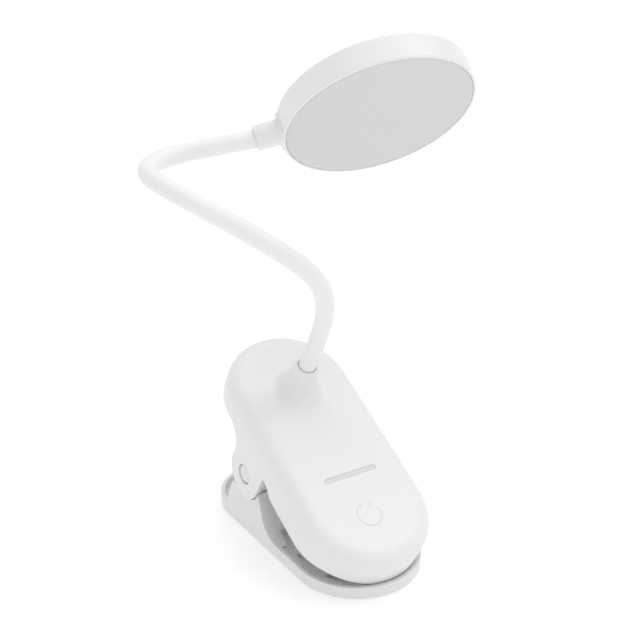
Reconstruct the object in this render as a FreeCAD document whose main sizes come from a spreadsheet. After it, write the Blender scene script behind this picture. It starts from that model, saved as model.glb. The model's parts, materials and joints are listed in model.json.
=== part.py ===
import FreeCAD, Part
import math
import os

import Sketcher

# Clip-on reading lamp: a sprung clip with the battery and touch control in its upper half,
# a bendable neck and a round light head.
# Frame: X across the clip, -Y towards the clip's nose, +Z up. The origin is under the lower jaw.

DRIVING = {
    # upper housing, in its own tilted frame: along = nose to tail, up = square to its top
    "shell_nose_y": -55.6, "shell_nose_z": 4.87, "shell_tilt": 29.55,
    "shell_length": 119.0, "shell_radius": 28.0, "shell_top": 15.3, "shell_wall": 2.5,
    "shell_roof": 2.0, "shell_edge": 7.0, "roof_step_inset": 2.9, "roof_step_height": 9.0,
    "skirt_dip": 3.3, "skirt_dip_start": 30.0, "skirt_dip_end": 50.0, "skirt_flat": 8.0,
    "notch_start": 57.0, "notch_end": 59.0, "tail_skirt": 1.7,
    "pivot_along": 70.4, "pivot_drop": 12.4, "ear_radius": 10.8, "ear_throat": 11.0,
    "ear_neck_drop": 8.0, "ear_tail_along": 89.0,
    # neck boss, touch mark, light slot, charging opening
    "boss_along": 87.7, "boss_height": 15.4, "boss_base": 11.5, "boss_mouth": 5.0, "boss_flare": 20.0,
    "slot_along": 41.8, "slot_length": 24.8, "slot_width": 2.0, "slot_recess": 1.0, "bar_flange": 1.5,
    "bar_flange_thick": 1.0,
    "touch_along": 22.1, "touch_radius": 7.0, "foil": 0.4,
    "touch_spring_radius": 2.6, "touch_spring_wall": 0.8,
    "usb_up": 8.0, "usb_width": 8.9, "usb_height": 3.2, "usb_depth": 7.4, "usb_wall": 0.35,
    # bottom cover and upper pad
    "cover_up": 2.2, "cover_thick": 1.6, "post_radius": 3.0, "post_x": 21.0,
    "post_front": 34.0, "post_rear": 92.0, "screw_radius": 1.0, "screw_head": 1.9,
    "screw_head_height": 1.1, "screw_length": 7.0,
    "upper_pad_thick": 1.6, "upper_pad_start": 3.5, "upper_pad_end": 30.0, "upper_pad_margin": 2.0,
    # electronics
    "board_start": 9.0, "board_end": 43.0, "board_half": 15.0, "board_up": 6.0, "board_thick": 1.2,
    "standoff_radius": 2.4, "board_hole_x": 12.0, "board_hole_front": 14.0, "board_hole_rear": 38.0,
    "battery_start": 46.5, "battery_length": 29.0, "battery_half": 17.0, "battery_thick": 6.5,
    "foam_thick": 0.8, "wire_radius": 0.6, "wire_x": 4.0, "chip_height": 1.1,
    "usb_board_length": 13.5, "usb_board_half": 6.5, "usb_board_thick": 1.0,
    # lower jaw
    "jaw_half": 27.0, "jaw_nose_y": -58.0, "jaw_tail_y": 53.4, "jaw_tail_corner": 24.0,
    "jaw_wall": 2.0, "jaw_nose_wall": 1.6, "jaw_floor": 2.0, "rim_nose": 5.2, "rim_side": 6.0,
    "rim_side_y": -17.0, "rim_tail": 6.1, "hump_front_y": -12.0, "hump_knee_y": -1.4, "hump_knee_z": 13.0,
    "hump_round": 13.0, "hump_top_y": 2.0, "hump_top_z": 23.3, "hump_rear_y": 24.5, "hump_rear_z": 19.0,
    "hump_foot_y": 28.5, "hump_foot_z": 9.5, "hump_end_y": 35.0,
    "lug_radius": 10.0, "lug_inner": 20.0, "block_front_y": -3.0, "block_rear_y": 27.0,
    "rib_thick": 1.4, "rib_height": 2.4, "rib_front_y": -38.0, "rib_pitch": 19.0,
    "tail_rib_inset": 7.0, "tail_rib_height": 4.5,
    "jaw_pad_width": 2.5, "jaw_pad_nose_z": 4.3, "jaw_pad_side_z": 5.6, "jaw_pad_slope_y": -40.0,
    "gusset_front_y": -14.0,
    # hinge pin and torsion spring
    "pin_radius": 4.45, "pin_recess": 1.2, "pin_chamfer": 0.8,
    "coil_wire": 0.8, "coil_turns": 6.0, "coil_pitch": 1.8,
    "lower_leg_y": 41.0, "upper_leg_along": 98.0,
    # neck
    "neck_radius": 3.75, "core_radius": 2.4, "core_hole": 0.9, "neck_depth": 19.0,
    "anchor_radius": 7.5, "anchor_thick": 2.2,
    # head, in its own frame: origin at the centre of its light face, Z to its back
    "head_radius": 39.7, "head_thick": 11.3, "head_wall": 1.5, "head_edge": 1.6,
    "lens_thick": 2.0, "lens_recess": 0.2, "socket_radius": 5.1, "socket_length": 10.0,
    "led_board_up": 6.2, "led_board_thick": 1.2, "led_board_inset": 3.4,
    "head_post_ring": 22.0, "head_post_radius": 2.2, "led_side": 2.8, "led_height": 0.7,
    "led_ring_inset": 6.8, "led_count": 12.0, "reflector_wall": 1.2,
    "head_anchor_length": 2.6, "head_anchor_half": 5.0,
    "flange_half": 7.5, "flange_proud": 0.3, "flange_margin": 0.7,
    # clearances
    "moving_gap": 0.3, "fit_gap": 0.1, "pin_gap": 0.05, "ball_gap": 0.3, "crescent_gap": 0.5,
}

# Corner points of the neck's route, from the mouth of its boss. The first lies along the boss
# and the last is where the neck meets the head's rim.
NECK_ROUTE = [
    (-4.1, -21.1, 32.7), (-13.0, -29.3, 50.4), (-36.8, -19.5, 68.8), (-57.7, -6.8, 82.7),
    (-61.9, 18.5, 86.8), (-43.0, 33.8, 87.3), (-14.5, 22.7, 91.6), (-1.7, 17.1, 94.8),
]
NECK_FIRST_RUN = 17.6
ARC_SHARE = 0.45                    # of the shorter run beside a corner
HEAD_BACK = (0.124, 0.697, 0.706)   # the way the head's back faces

# Parts on the control board: x, along, width, length and height in chip heights.
BOARD_CHIPS = [(-10.0, 28.0, 6.0, 6.0, 1.0), (3.5, 27.0, 7.0, 7.0, 1.2), (-8.5, 19.0, 4.5, 3.0, 1.6),
               (-6.0, 37.5, 12.0, 4.5, 2.6)]
BATTERY_PLUG_END = 42.0             # along: the rear face of the last of them
ROOT_THREE_HALVES = math.sqrt(3) / 2

doc = FreeCAD.newDocument("ClipLamp")
sheet = doc.addObject("Spreadsheet::Sheet", "Sizes")
node_objects = []


class Size:
    """A length that carries both its number and its spreadsheet expression."""

    def __init__(self, value, text):
        self.value = value
        self.text = text

    def join(self, other, sign, result):
        text = other.text if isinstance(other, Size) else repr(other)
        return Size(result, "(%s %s %s)" % (self.text, sign, text))

    def __add__(self, other):
        return self.join(other, "+", self.value + number(other))

    def __sub__(self, other):
        return self.join(other, "-", self.value - number(other))

    def __mul__(self, other):
        return self.join(other, "*", self.value * number(other))

    def __truediv__(self, other):
        return self.join(other, "/", self.value / number(other))

    def __neg__(self):
        return Size(-self.value, "(0 - %s)" % self.text)


def number(value):
    return value.value if isinstance(value, Size) else float(value)


def cosine(angle):
    return Size(math.cos(math.radians(angle.value)), "cos(%s * 1deg)" % angle.text)


def sine(angle):
    return Size(math.sin(math.radians(angle.value)), "sin(%s * 1deg)" % angle.text)


class Sizes:
    """The driving dimensions, each a row of the spreadsheet with its alias."""

    def __init__(self):
        for row, (alias, value) in enumerate(DRIVING.items(), start=1):
            sheet.set("A%d" % row, alias)
            sheet.set("B%d" % row, repr(value))
            sheet.setAlias("B%d" % row, alias)
            setattr(self, alias, Size(value, "Sizes." + alias))


v = Sizes()
doc.recompute()


def bind(item, prop, value):
    """Set a property from a size and tie it to the spreadsheet."""
    if isinstance(value, Size):
        item.setExpression(prop, value.text)


def plane_of(body, role):
    return [part for part in body.Origin.OriginFeatures if part.Role == role][0]


def new_body(label, place=None):
    body = doc.addObject("PartDesign::Body", label)
    body.Label = label
    if place is not None:
        place(body)
    node_objects.append(body)
    return body


def arc_between(start, end, radius):
    """Arc under half a turn from start to end: counter-clockwise for a positive radius."""
    size = abs(radius)
    middle = (start + end) * 0.5
    along = end - start
    left = FreeCAD.Vector(-along.y, along.x, 0).normalize()
    reach = math.sqrt(max(size ** 2 - (along.Length / 2) ** 2, 0.0))
    centre = middle + left * math.copysign(reach, radius)
    first, last = (start, end) if radius > 0 else (end, start)
    angle_of = [math.atan2(p.y - centre.y, p.x - centre.x) for p in (first, last)]
    if angle_of[1] < angle_of[0]:
        angle_of[1] += 2 * math.pi
    circle = Part.Circle(centre, FreeCAD.Vector(0, 0, 1), size)
    return Part.ArcOfCircle(circle, angle_of[0], angle_of[1])


def fix(sketch, kind, items, value):
    index = sketch.addConstraint(Sketcher.Constraint(kind, *items, number(value)))
    bind(sketch, "Constraints[%d]" % index, value)


def add_contour(sketch, path):
    """Closed outline: each point is (x, y) or, where an arc starts, (x, y, radius)."""
    points = [FreeCAD.Vector(number(p[0]), number(p[1]), 0) for p in path]
    ends = []
    for index, point in enumerate(path):
        start = points[index]
        end = points[(index + 1) % len(path)]
        if len(point) == 3:
            curve = arc_between(start, end, number(point[2]))
            ends.append((1, 2) if number(point[2]) > 0 else (2, 1))
        else:
            curve = Part.LineSegment(start, end)
            ends.append((1, 2))
        geometry = sketch.addGeometry(curve)
        if index == 0:
            first = geometry
    for index, point in enumerate(path):
        here = first + index
        after = first + (index + 1) % len(path)
        joint = (here, ends[index][1], after, ends[after - first][0])
        sketch.addConstraint(Sketcher.Constraint("Coincident", *joint))
    for index, point in enumerate(path):
        corner = (-1, 1, first + index, ends[index][0])
        fix(sketch, "DistanceX", corner, point[0])
        fix(sketch, "DistanceY", corner, point[1])
        if len(point) == 3:
            radius = point[2] if number(point[2]) > 0 else -point[2]
            fix(sketch, "Radius", (first + index,), radius)


def add_circle(sketch, x, y, radius):
    centre = FreeCAD.Vector(number(x), number(y), 0)
    geometry = sketch.addGeometry(Part.Circle(centre, FreeCAD.Vector(0, 0, 1), number(radius)))
    fix(sketch, "DistanceX", (-1, 1, geometry, 3), x)
    fix(sketch, "DistanceY", (-1, 1, geometry, 3), y)
    fix(sketch, "Radius", (geometry,), radius)


def new_sketch(body, role, contours=(), circles=(), height=None, height_sign=1):
    """Sketch on one of the body's own planes, moved along the plane's normal by height."""
    sketch = body.newObject("Sketcher::SketchObject", "Sketch")
    sketch.AttachmentSupport = [(plane_of(body, role), "")]
    sketch.MapMode = "FlatFace"
    if height is not None:
        shift = number(height) * height_sign
        sketch.AttachmentOffset = FreeCAD.Placement(FreeCAD.Vector(0, 0, shift), FreeCAD.Rotation())
        bind(sketch, "AttachmentOffset.Base.z", height if height_sign > 0 else -height)
    for path in contours:
        add_contour(sketch, path)
    for circle in circles:
        add_circle(sketch, *circle)
    return sketch


def body_volume(body):
    return body.Shape.Volume if body.Tip is not None and not body.Shape.isNull() else 0.0


def add_feature(body, kind, sketch, length, side, back):
    before = body_volume(body)
    feature = body.newObject("PartDesign::" + kind, kind)
    feature.Profile = sketch
    feature.SideType = side
    feature.Reversed = back
    feature.Length = number(length)
    bind(feature, "Length", length)
    doc.recompute()
    change = body_volume(body) - before
    if (kind == "Pad") != (change > 0):
        raise ValueError("%s in %s changed the volume by %.3f" % (kind, body.Label, change))
    return feature


def pad(body, sketch, length, side="One side", back=False):
    return add_feature(body, "Pad", sketch, length, side, back)


def pocket(body, sketch, length, side="One side", back=False):
    return add_feature(body, "Pocket", sketch, length, side, back)


def edge_names(shape, wanted):
    return ["Edge%d" % (index + 1) for index, edge in enumerate(shape.Edges) if wanted(edge)]


def dress(body, kind, wanted, prop, value):
    """Fillet or chamfer on the edges of the body's tip that wanted() picks."""
    base = body.Tip
    feature = body.newObject("PartDesign::" + kind, kind)
    feature.Base = (base, edge_names(base.Shape, wanted))
    setattr(feature, prop, number(value))
    bind(feature, prop, value)
    doc.recompute()
    return feature


def mirror_features(body, features):
    mirrored = body.newObject("PartDesign::Mirrored", "Mirrored")
    mirrored.Originals = features
    mirrored.MirrorPlane = (plane_of(body, "YZ_Plane"), [""])
    body.Tip = mirrored
    doc.recompute()
    return mirrored


def rectangle(x0, y0, x1, y1):
    return [(x0, y0), (x1, y0), (x1, y1), (x0, y1)]


def stadium(half, start, end, corner):
    """Plan with a round nose of radius half and tail corners of radius corner."""
    straight = half - corner
    path = [(-half, start + half, half), (half * 0, start, half), (half, start + half),
            (half, end - corner, corner)]
    if abs(number(straight)) > 0.01:
        path.append((straight, end))
    path.append((-straight, end, corner))
    path.append((-half, end - corner))
    return path


def make_part(kind, label, **values):
    """Part primitive whose properties are bound to sizes."""
    item = doc.addObject("Part::" + kind, label)
    for prop, value in values.items():
        setattr(item, prop, number(value))
        bind(item, prop, value)
    return item


def seat(item, base, turn=None):
    """Placement with its base bound to sizes and a fixed turn."""
    item.Placement = FreeCAD.Placement(FreeCAD.Vector(*[number(b) for b in base]),
                                       turn or FreeCAD.Rotation())
    for axis, value in zip("xyz", base):
        bind(item, "Placement.Base." + axis, value)


def add_node(item, label):
    item.Label = label
    node_objects.append(item)
    return item


def join(label, items):
    fused = doc.addObject("Part::MultiFuse", label)
    fused.Shapes = items
    doc.recompute()
    return fused


def cut(label, base, tool):
    result = doc.addObject("Part::Cut", label)
    result.Base = base
    result.Tool = tool
    doc.recompute()
    return result


# ---- the upper housing's tilted frame ----

def tilted(x, along, up):
    """Place a point of the tilted frame in the lamp's frame."""
    cos_tilt = cosine(v.shell_tilt)
    sin_tilt = sine(v.shell_tilt)
    y = v.shell_nose_y + cos_tilt * along - sin_tilt * up
    z = v.shell_nose_z + sin_tilt * along + cos_tilt * up
    return x, y, z


def tilt_turn():
    return FreeCAD.Rotation(FreeCAD.Vector(1, 0, 0), v.shell_tilt.value)


def tilt_place(item):
    seat(item, (0.0, v.shell_nose_y, v.shell_nose_z), tilt_turn())
    item.setExpression("Placement.Rotation.Angle", v.shell_tilt.text)


def tilt_seat(item, x, along, up):
    seat(item, tilted(x, along, up), tilt_turn())
    item.setExpression("Placement.Rotation.Angle", v.shell_tilt.text)


def tilted_box(label, x0, along0, up0, width, length, height):
    box = make_part("Box", label, Length=width, Width=length, Height=height)
    tilt_seat(box, x0, along0, up0)
    return box


def tilted_cylinder(label, x, along, up, radius, height):
    cylinder = make_part("Cylinder", label, Radius=radius, Height=height)
    tilt_seat(cylinder, x, along, up)
    return cylinder


def post_places():
    return [(side * v.post_x, along) for side in (LEFT, RIGHT) for along in (v.post_front, v.post_rear)]


LEFT = Size(-1.0, "(-1)")
RIGHT = Size(1.0, "1")
ROOF_UNDER = v.shell_top - v.shell_roof
COVER_TOP = v.cover_up + v.cover_thick
PIVOT = tilted(0.0, v.pivot_along, -v.pivot_drop)
BORE = v.pin_radius + v.pin_gap
EAR_INNER = v.shell_radius - v.shell_wall
LUG_OUTER = EAR_INNER - v.moving_gap


def top_housing():
    """Upper shell: round-ended plan, soft top edge, ears for the hinge and a flared neck boss."""
    body = new_body("top_housing", tilt_place)
    deep = v.pivot_drop + v.ear_radius + 1.0
    plan = new_sketch(body, "XY_Plane", [stadium(v.shell_radius, v.shell_length * 0, v.shell_length,
                                                 v.shell_radius)], height=-deep)
    pad(body, plan, deep + v.shell_top)
    top = v.shell_top.value
    dress(body, "Fillet", lambda edge: all(abs(p.Point.z - top) < 1e-6 for p in edge.Vertexes),
          "Radius", v.shell_edge)
    low = -deep - 1.0
    past = v.shell_length + 1.0
    ear_front = v.pivot_along - v.ear_radius
    ear_rear = v.pivot_along + v.ear_radius
    underside = [(v.shell_radius * 0 - 1.0, low), (v.shell_radius * 0 - 1.0, v.shell_radius * 0),
                 (v.skirt_flat, v.shell_radius * 0),
                 (v.skirt_dip_start, -v.skirt_dip), (v.skirt_dip_end, -v.skirt_dip),
                 (v.notch_start, v.shell_radius * 0), (v.notch_end, v.shell_radius * 0),
                 (ear_front, -v.pivot_drop, v.ear_radius),
                 (v.pivot_along, -v.pivot_drop - v.ear_radius, v.ear_radius),
                 (ear_rear, -v.pivot_drop), (ear_rear, -v.ear_neck_drop, -v.ear_throat),
                 (v.ear_tail_along, v.tail_skirt), (past, v.tail_skirt), (past, low)]
    pocket(body, new_sketch(body, "YZ_Plane", [underside]), v.shell_radius * 2 + 2.0, "Symmetric")
    inner = stadium(EAR_INNER, v.shell_wall, v.shell_length - v.shell_wall, EAR_INNER)
    hollow = new_sketch(body, "XY_Plane", [inner], height=low)
    pocket(body, hollow, v.roof_step_height - low, back=True)
    upper_half = EAR_INNER - v.roof_step_inset
    inset = v.shell_wall + v.roof_step_inset
    upper = stadium(upper_half, inset, v.shell_length - inset, upper_half)
    pocket(body, new_sketch(body, "XY_Plane", [upper], height=low), ROOF_UNDER - low, back=True)
    posts = [(x, along, v.post_radius) for x, along in post_places()]
    pad(body, new_sketch(body, "XY_Plane", circles=posts, height=COVER_TOP), ROOF_UNDER - COVER_TOP + 0.5)
    holes = [(x, along, v.screw_radius) for x, along in post_places()]
    pocket(body, new_sketch(body, "XY_Plane", circles=holes, height=COVER_TOP), v.screw_length, back=True)
    boss_on_housing(body)
    slot = rectangle(-v.slot_length / 2, v.slot_along - v.slot_width / 2,
                     v.slot_length / 2, v.slot_along + v.slot_width / 2)
    pocket(body, new_sketch(body, "XY_Plane", [slot], height=ROOF_UNDER - 0.5), v.shell_roof + 1.0, back=True)
    pivot_circle = (v.pivot_along, -v.pivot_drop, BORE)
    pocket(body, new_sketch(body, "YZ_Plane", circles=[pivot_circle]), v.shell_radius * 2 + 2.0, "Symmetric")
    mouth_half = v.usb_width / 2 + v.fit_gap * 2
    mouth_up = v.usb_height / 2 + v.fit_gap * 2
    mouth = rectangle(-mouth_half, v.usb_up - mouth_up, mouth_half, v.usb_up + mouth_up)
    opening = new_sketch(body, "XZ_Plane", [mouth], height=v.shell_length - 6.0, height_sign=-1)
    pocket(body, opening, v.shell_wall + 6.0)
    return body


def boss_on_housing(body):
    """Flared boss of revolution about the neck's axis, bored for the neck."""
    before = body_volume(body)
    root_up = ROOF_UNDER + 0.5
    bore_radius = v.neck_radius + v.fit_gap
    mouth_up = v.shell_top + v.boss_height
    profile = [(bore_radius, root_up), (v.boss_base, root_up), (v.boss_base, v.shell_top, -v.boss_flare),
               (v.boss_mouth, mouth_up), (bore_radius, mouth_up)]
    sketch = new_sketch(body, "XZ_Plane", [profile], height=v.boss_along, height_sign=-1)
    flare = body.newObject("PartDesign::Revolution", "Revolution")
    flare.Profile = sketch
    flare.ReferenceAxis = (sketch, ["V_Axis"])
    flare.Angle = 360.0
    doc.recompute()
    if body_volume(body) <= before:
        raise ValueError("the neck boss added nothing")
    bore = (v.boss_along * 0, v.boss_along, bore_radius)
    pocket(body, new_sketch(body, "XY_Plane", circles=[bore], height=ROOF_UNDER - 1.0),
           v.shell_roof + v.boss_height + 2.0, back=True)


def bottom_cover():
    """Flat floor of the upper housing, with standoffs for the boards."""
    body = new_body("bottom_cover", tilt_place)
    half = EAR_INNER - v.fit_gap * 2
    inset = v.shell_wall + v.fit_gap * 2
    plan = stadium(half, inset, v.shell_length - inset, half)
    pad(body, new_sketch(body, "XY_Plane", [plan], height=v.cover_up), v.cover_thick)
    standoffs = [(x, along, v.standoff_radius) for x, along in board_holes()]
    pad(body, new_sketch(body, "XY_Plane", circles=standoffs, height=COVER_TOP - 0.2),
        v.board_up - COVER_TOP + 0.2)
    ledge_end = usb_board_start() + v.usb_board_length
    ledge = rectangle(-v.usb_board_half, usb_board_start(), v.usb_board_half, ledge_end)
    pad(body, new_sketch(body, "XY_Plane", [ledge], height=COVER_TOP - 0.2), usb_board_up() - COVER_TOP + 0.2)
    pilot = [(x, along, v.screw_radius) for x, along in board_holes()]
    pocket(body, new_sketch(body, "XY_Plane", circles=pilot, height=v.cover_up + 0.8),
           v.board_up, back=True)
    through = [(x, along, v.screw_radius + v.fit_gap) for x, along in post_places()]
    pocket(body, new_sketch(body, "XY_Plane", circles=through), COVER_TOP + 1.0, back=True)
    heads = [(x, along, v.screw_head + v.fit_gap) for x, along in post_places()]
    pocket(body, new_sketch(body, "XY_Plane", circles=heads), v.cover_up + v.screw_head_height, back=True)
    return body


def board_holes():
    return [(side * v.board_hole_x, along) for side in (LEFT, RIGHT)
            for along in (v.board_hole_front, v.board_hole_rear)]


def usb_board_start():
    return v.shell_length - v.shell_wall - 1.0 - v.usb_board_length


def usb_board_up():
    return v.usb_up - v.usb_height / 2 - v.usb_board_thick


def screws(label, places, under, head_below, length):
    """Group of equal screws of the tilted frame, heads below or above."""
    items = []
    for x, along in places:
        if head_below:
            head_up = under
            shank_up = under + v.screw_head_height
        else:
            head_up = under
            shank_up = under - length
        items.append(tilted_cylinder(label + "_head", x, along, head_up, v.screw_head, v.screw_head_height))
        items.append(tilted_cylinder(label + "_shank", x, along, shank_up, v.screw_radius - 0.02, length))
    return add_node(join(label, items), label)


def upper_jaw_pad():
    """Rubber pad under the nose of the upper half."""
    body = new_body("upper_jaw_pad", tilt_place)
    half = EAR_INNER - v.upper_pad_margin
    start = v.upper_pad_start
    path = [(-half, start + half, half), (half * 0, start, half), (half, start + half),
            (half, v.upper_pad_end), (-half, v.upper_pad_end)]
    pad(body, new_sketch(body, "XY_Plane", [path], height=v.cover_up - v.upper_pad_thick), v.upper_pad_thick)
    return body


def indicator_light_bar():
    """Clear bar in the slot of the top, carried by a flange under the roof."""
    blade_width = v.slot_width - v.fit_gap * 2
    blade_length = v.slot_length - v.fit_gap * 2
    low = ROOF_UNDER - v.bar_flange_thick
    blade = tilted_box("bar_blade", -blade_length / 2, v.slot_along - blade_width / 2, low, blade_length,
                       blade_width, v.shell_roof + v.bar_flange_thick - v.slot_recess)
    edge = v.bar_flange
    flange = tilted_box("bar_flange", -v.slot_length / 2 - edge, v.slot_along - v.slot_width / 2 - edge, low,
                        v.slot_length + edge * 2, v.slot_width + edge * 2, v.bar_flange_thick)
    return add_node(join("indicator_light_bar", [blade, flange]), "indicator_light_bar")


def touch_parts():
    """Foil under the touch mark and the contact spring that joins it to the board."""
    foil_up = ROOF_UNDER - v.foil
    foil = tilted_cylinder("touch_electrode", 0.0, v.touch_along, foil_up, v.touch_radius, v.foil)
    add_node(foil, "touch_electrode")
    board_top = v.board_up + v.board_thick
    height = foil_up - board_top
    radius = v.touch_spring_radius
    outer = tilted_cylinder("touch_spring_outer", 0.0, v.touch_along, board_top, radius, height)
    inner = tilted_cylinder("touch_spring_inner", 0.0, v.touch_along, board_top - 1.0,
                            radius - v.touch_spring_wall, height + 2.0)
    return add_node(cut("touch_spring", outer, inner), "touch_spring")


def control_board():
    body = new_body("control_board", tilt_place)
    plan = rectangle(-v.board_half, v.board_start, v.board_half, v.board_end)
    holes = [(x, along, v.screw_radius + v.fit_gap) for x, along in board_holes()]
    pad(body, new_sketch(body, "XY_Plane", [plan], holes, height=v.board_up), v.board_thick)
    return body


def board_components():
    """Charge chip, controller, choke and battery connector on the control board."""
    up = v.board_up + v.board_thick
    items = []
    for x, along, width, length, tall in BOARD_CHIPS:
        size = [Size(value, repr(value)) for value in (width, length)]
        items.append(tilted_box("chip", x, along, up, *size, v.chip_height * tall))
    return add_node(join("board_components", items), "board_components")


def battery_parts():
    """Foam strip, flat battery and its two leads to the board's connector."""
    half = v.battery_half
    foam = tilted_box("battery_foam", -half, v.battery_start, COVER_TOP, half * 2, v.battery_length,
                      v.foam_thick)
    add_node(foam, "battery_foam")
    up = COVER_TOP + v.foam_thick
    pack = tilted_box("battery_pack", -half, v.battery_start, up, half * 2, v.battery_length, v.battery_thick)
    add_node(pack, "battery_pack")
    wires = []
    lead_up = v.board_up + v.board_thick + v.chip_height
    for side in (LEFT, RIGHT):
        wire = make_part("Cylinder", "lead", Radius=v.wire_radius, Height=v.battery_start - BATTERY_PLUG_END)
        turn = tilt_turn().multiply(FreeCAD.Rotation(FreeCAD.Vector(1, 0, 0), -90))
        seat(wire, tilted(side * v.wire_x, v.battery_start * 0 + BATTERY_PLUG_END, lead_up), turn)
        wires.append(wire)
    return add_node(join("battery_leads", wires), "battery_leads")


def usb_parts():
    """Charging socket at the tail, on its own small board."""
    start = v.shell_length - 0.8 - v.usb_depth
    up = usb_board_up()
    board = tilted_box("usb_board", -v.usb_board_half, usb_board_start(), up, v.usb_board_half * 2,
                       v.usb_board_length, v.usb_board_thick)
    add_node(board, "usb_board")
    low = v.usb_up - v.usb_height / 2
    shell = tilted_box("usb_shell", -v.usb_width / 2, start, low, v.usb_width, v.usb_depth, v.usb_height)
    space = tilted_box("usb_space", -v.usb_width / 2 + v.usb_wall, start + 1.0, low + v.usb_wall,
                       v.usb_width - v.usb_wall * 2, v.usb_depth, v.usb_height - v.usb_wall * 2)
    tongue_half = v.usb_width / 2 - v.usb_wall * 3
    tongue = tilted_box("usb_tongue", -tongue_half, start + 0.5, v.usb_up - v.usb_wall, tongue_half * 2,
                        v.usb_depth - 1.5, v.usb_wall * 2)
    socket = join("usb_socket", [cut("usb_case", shell, space), tongue])
    return add_node(socket, "usb_socket")


# ---- lower jaw ----

def lower_jaw():
    """Tray with a round nose and tail, a raised hump each side and a lug for the hinge pin."""
    body = new_body("lower_jaw")
    tall = PIVOT[2] + v.lug_radius + 1.0
    plan = stadium(v.jaw_half, v.jaw_nose_y, v.jaw_tail_y, v.jaw_tail_corner)
    pad(body, new_sketch(body, "XY_Plane", [plan]), tall)
    front = v.jaw_nose_y - 1.0
    past = v.jaw_tail_y + 1.0
    high = tall + 1.0
    pivot_y, pivot_z = PIVOT[1], PIVOT[2]
    above = [(front, high), (front, v.rim_nose), (v.rim_side_y, v.rim_side),
             (v.hump_front_y, v.rim_side, v.hump_round), (v.hump_knee_y, v.hump_knee_z),
             (v.hump_top_y, v.hump_top_z), (pivot_y - v.lug_radius, pivot_z, -v.lug_radius),
             (pivot_y, pivot_z + v.lug_radius, -v.lug_radius), (pivot_y + v.lug_radius, pivot_z),
             (v.hump_rear_y, v.hump_rear_z), (v.hump_foot_y, v.hump_foot_z), (v.hump_end_y, v.rim_tail),
             (past, v.rim_tail), (past, high)]
    pocket(body, new_sketch(body, "YZ_Plane", [above]), v.jaw_half * 2 + 2.0, "Symmetric")
    half = v.jaw_half - v.jaw_wall
    nose = v.jaw_nose_y + v.jaw_nose_wall
    corner = v.jaw_tail_corner - v.jaw_wall
    tail = v.jaw_tail_y - v.jaw_wall
    gusset = half - v.jaw_pad_width - v.fit_gap
    tray = [(-half, nose + half, half), (half * 0, nose, half), (half, nose + half),
            (half, v.gusset_front_y), (gusset, v.gusset_front_y), (gusset, v.block_front_y),
            (v.lug_inner, v.block_front_y), (v.lug_inner, v.block_rear_y),
            (half, v.block_rear_y + 1.0), (half, tail - corner, corner), (half - corner, tail),
            (-half + corner, tail, corner), (-half, tail - corner), (-half, v.block_rear_y + 1.0),
            (-v.lug_inner, v.block_rear_y), (-v.lug_inner, v.block_front_y),
            (-gusset, v.block_front_y), (-gusset, v.gusset_front_y), (-half, v.gusset_front_y)]
    pocket(body, new_sketch(body, "XY_Plane", [tray], height=v.jaw_floor), tall, back=True)
    round_gap = v.ear_radius + v.crescent_gap
    recess = [(pivot_y - round_gap, pivot_z, round_gap), (pivot_y, pivot_z - round_gap, round_gap),
              (pivot_y + round_gap, pivot_z), (pivot_y + round_gap, high), (pivot_y - round_gap, high)]
    beside = new_sketch(body, "YZ_Plane", [recess], height=LUG_OUTER)
    side = pocket(body, beside, v.jaw_half - LUG_OUTER + 1.0, back=True)
    mirror_features(body, [side])
    ribs(body, half, tail)
    bore = (pivot_y, pivot_z, v.pin_radius + v.pin_gap / 2)
    pocket(body, new_sketch(body, "YZ_Plane", circles=[bore]), v.jaw_half * 2 + 2.0, "Symmetric")
    return body


def ribs(body, half, tail):
    """Cross ribs on the tray's floor and one curved rib round its tail."""
    height = v.rib_height + 0.2
    floor = v.jaw_floor - 0.2
    pad_room = half - v.jaw_pad_width - v.fit_gap * 3
    for index in range(3):
        middle = v.rib_front_y + v.rib_pitch * index
        reach = pad_room if index < 2 else v.lug_inner + 0.2
        if index == 0:
            reach = pad_room - 3.0
        strip = rectangle(-reach, middle - v.rib_thick / 2, reach, middle + v.rib_thick / 2)
        pad(body, new_sketch(body, "XY_Plane", [strip], height=floor), height)
    spine = rectangle(-v.rib_thick / 2, v.rib_front_y, v.rib_thick / 2, v.rib_front_y + v.rib_pitch * 2)
    pad(body, new_sketch(body, "XY_Plane", [spine], height=floor), height)
    outer = v.jaw_tail_corner - v.tail_rib_inset
    inner = outer - v.rib_thick
    edge = v.jaw_tail_y - v.tail_rib_inset
    centre = edge - outer
    flat = v.jaw_half - v.jaw_tail_corner
    band = [(flat + outer, centre, outer), (flat, edge), (-flat, edge, outer), (-flat - outer, centre),
            (-flat - inner, centre, -inner), (-flat, edge - v.rib_thick), (flat, edge - v.rib_thick, -inner),
            (flat + inner, centre)]
    pad(body, new_sketch(body, "XY_Plane", [band], height=floor), v.tail_rib_height)


def lower_jaw_pad():
    """U-shaped soft strip just inside the lower jaw's rim, lower at the nose."""
    body = new_body("lower_jaw_pad")
    outer = v.jaw_half - v.jaw_wall - v.fit_gap
    nose = v.jaw_nose_y + v.jaw_nose_wall + v.fit_gap
    inner = outer - v.jaw_pad_width
    centre = nose + outer
    end = v.gusset_front_y - v.fit_gap
    path = [(-outer, centre, outer), (outer * 0, nose, outer), (outer, centre), (outer, end),
            (inner, end), (inner, centre, -inner), (inner * 0, centre - inner, -inner),
            (-inner, centre), (-inner, end), (-outer, end)]
    pad(body, new_sketch(body, "XY_Plane", [path], height=v.jaw_floor), v.jaw_pad_side_z - v.jaw_floor)
    slope = [(v.jaw_nose_y, v.jaw_pad_nose_z), (v.jaw_pad_slope_y, v.jaw_pad_side_z + 0.01),
             (v.jaw_nose_y, v.jaw_pad_side_z + 1.0)]
    pocket(body, new_sketch(body, "YZ_Plane", [slope]), v.jaw_half * 2, "Symmetric")
    return body


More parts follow.
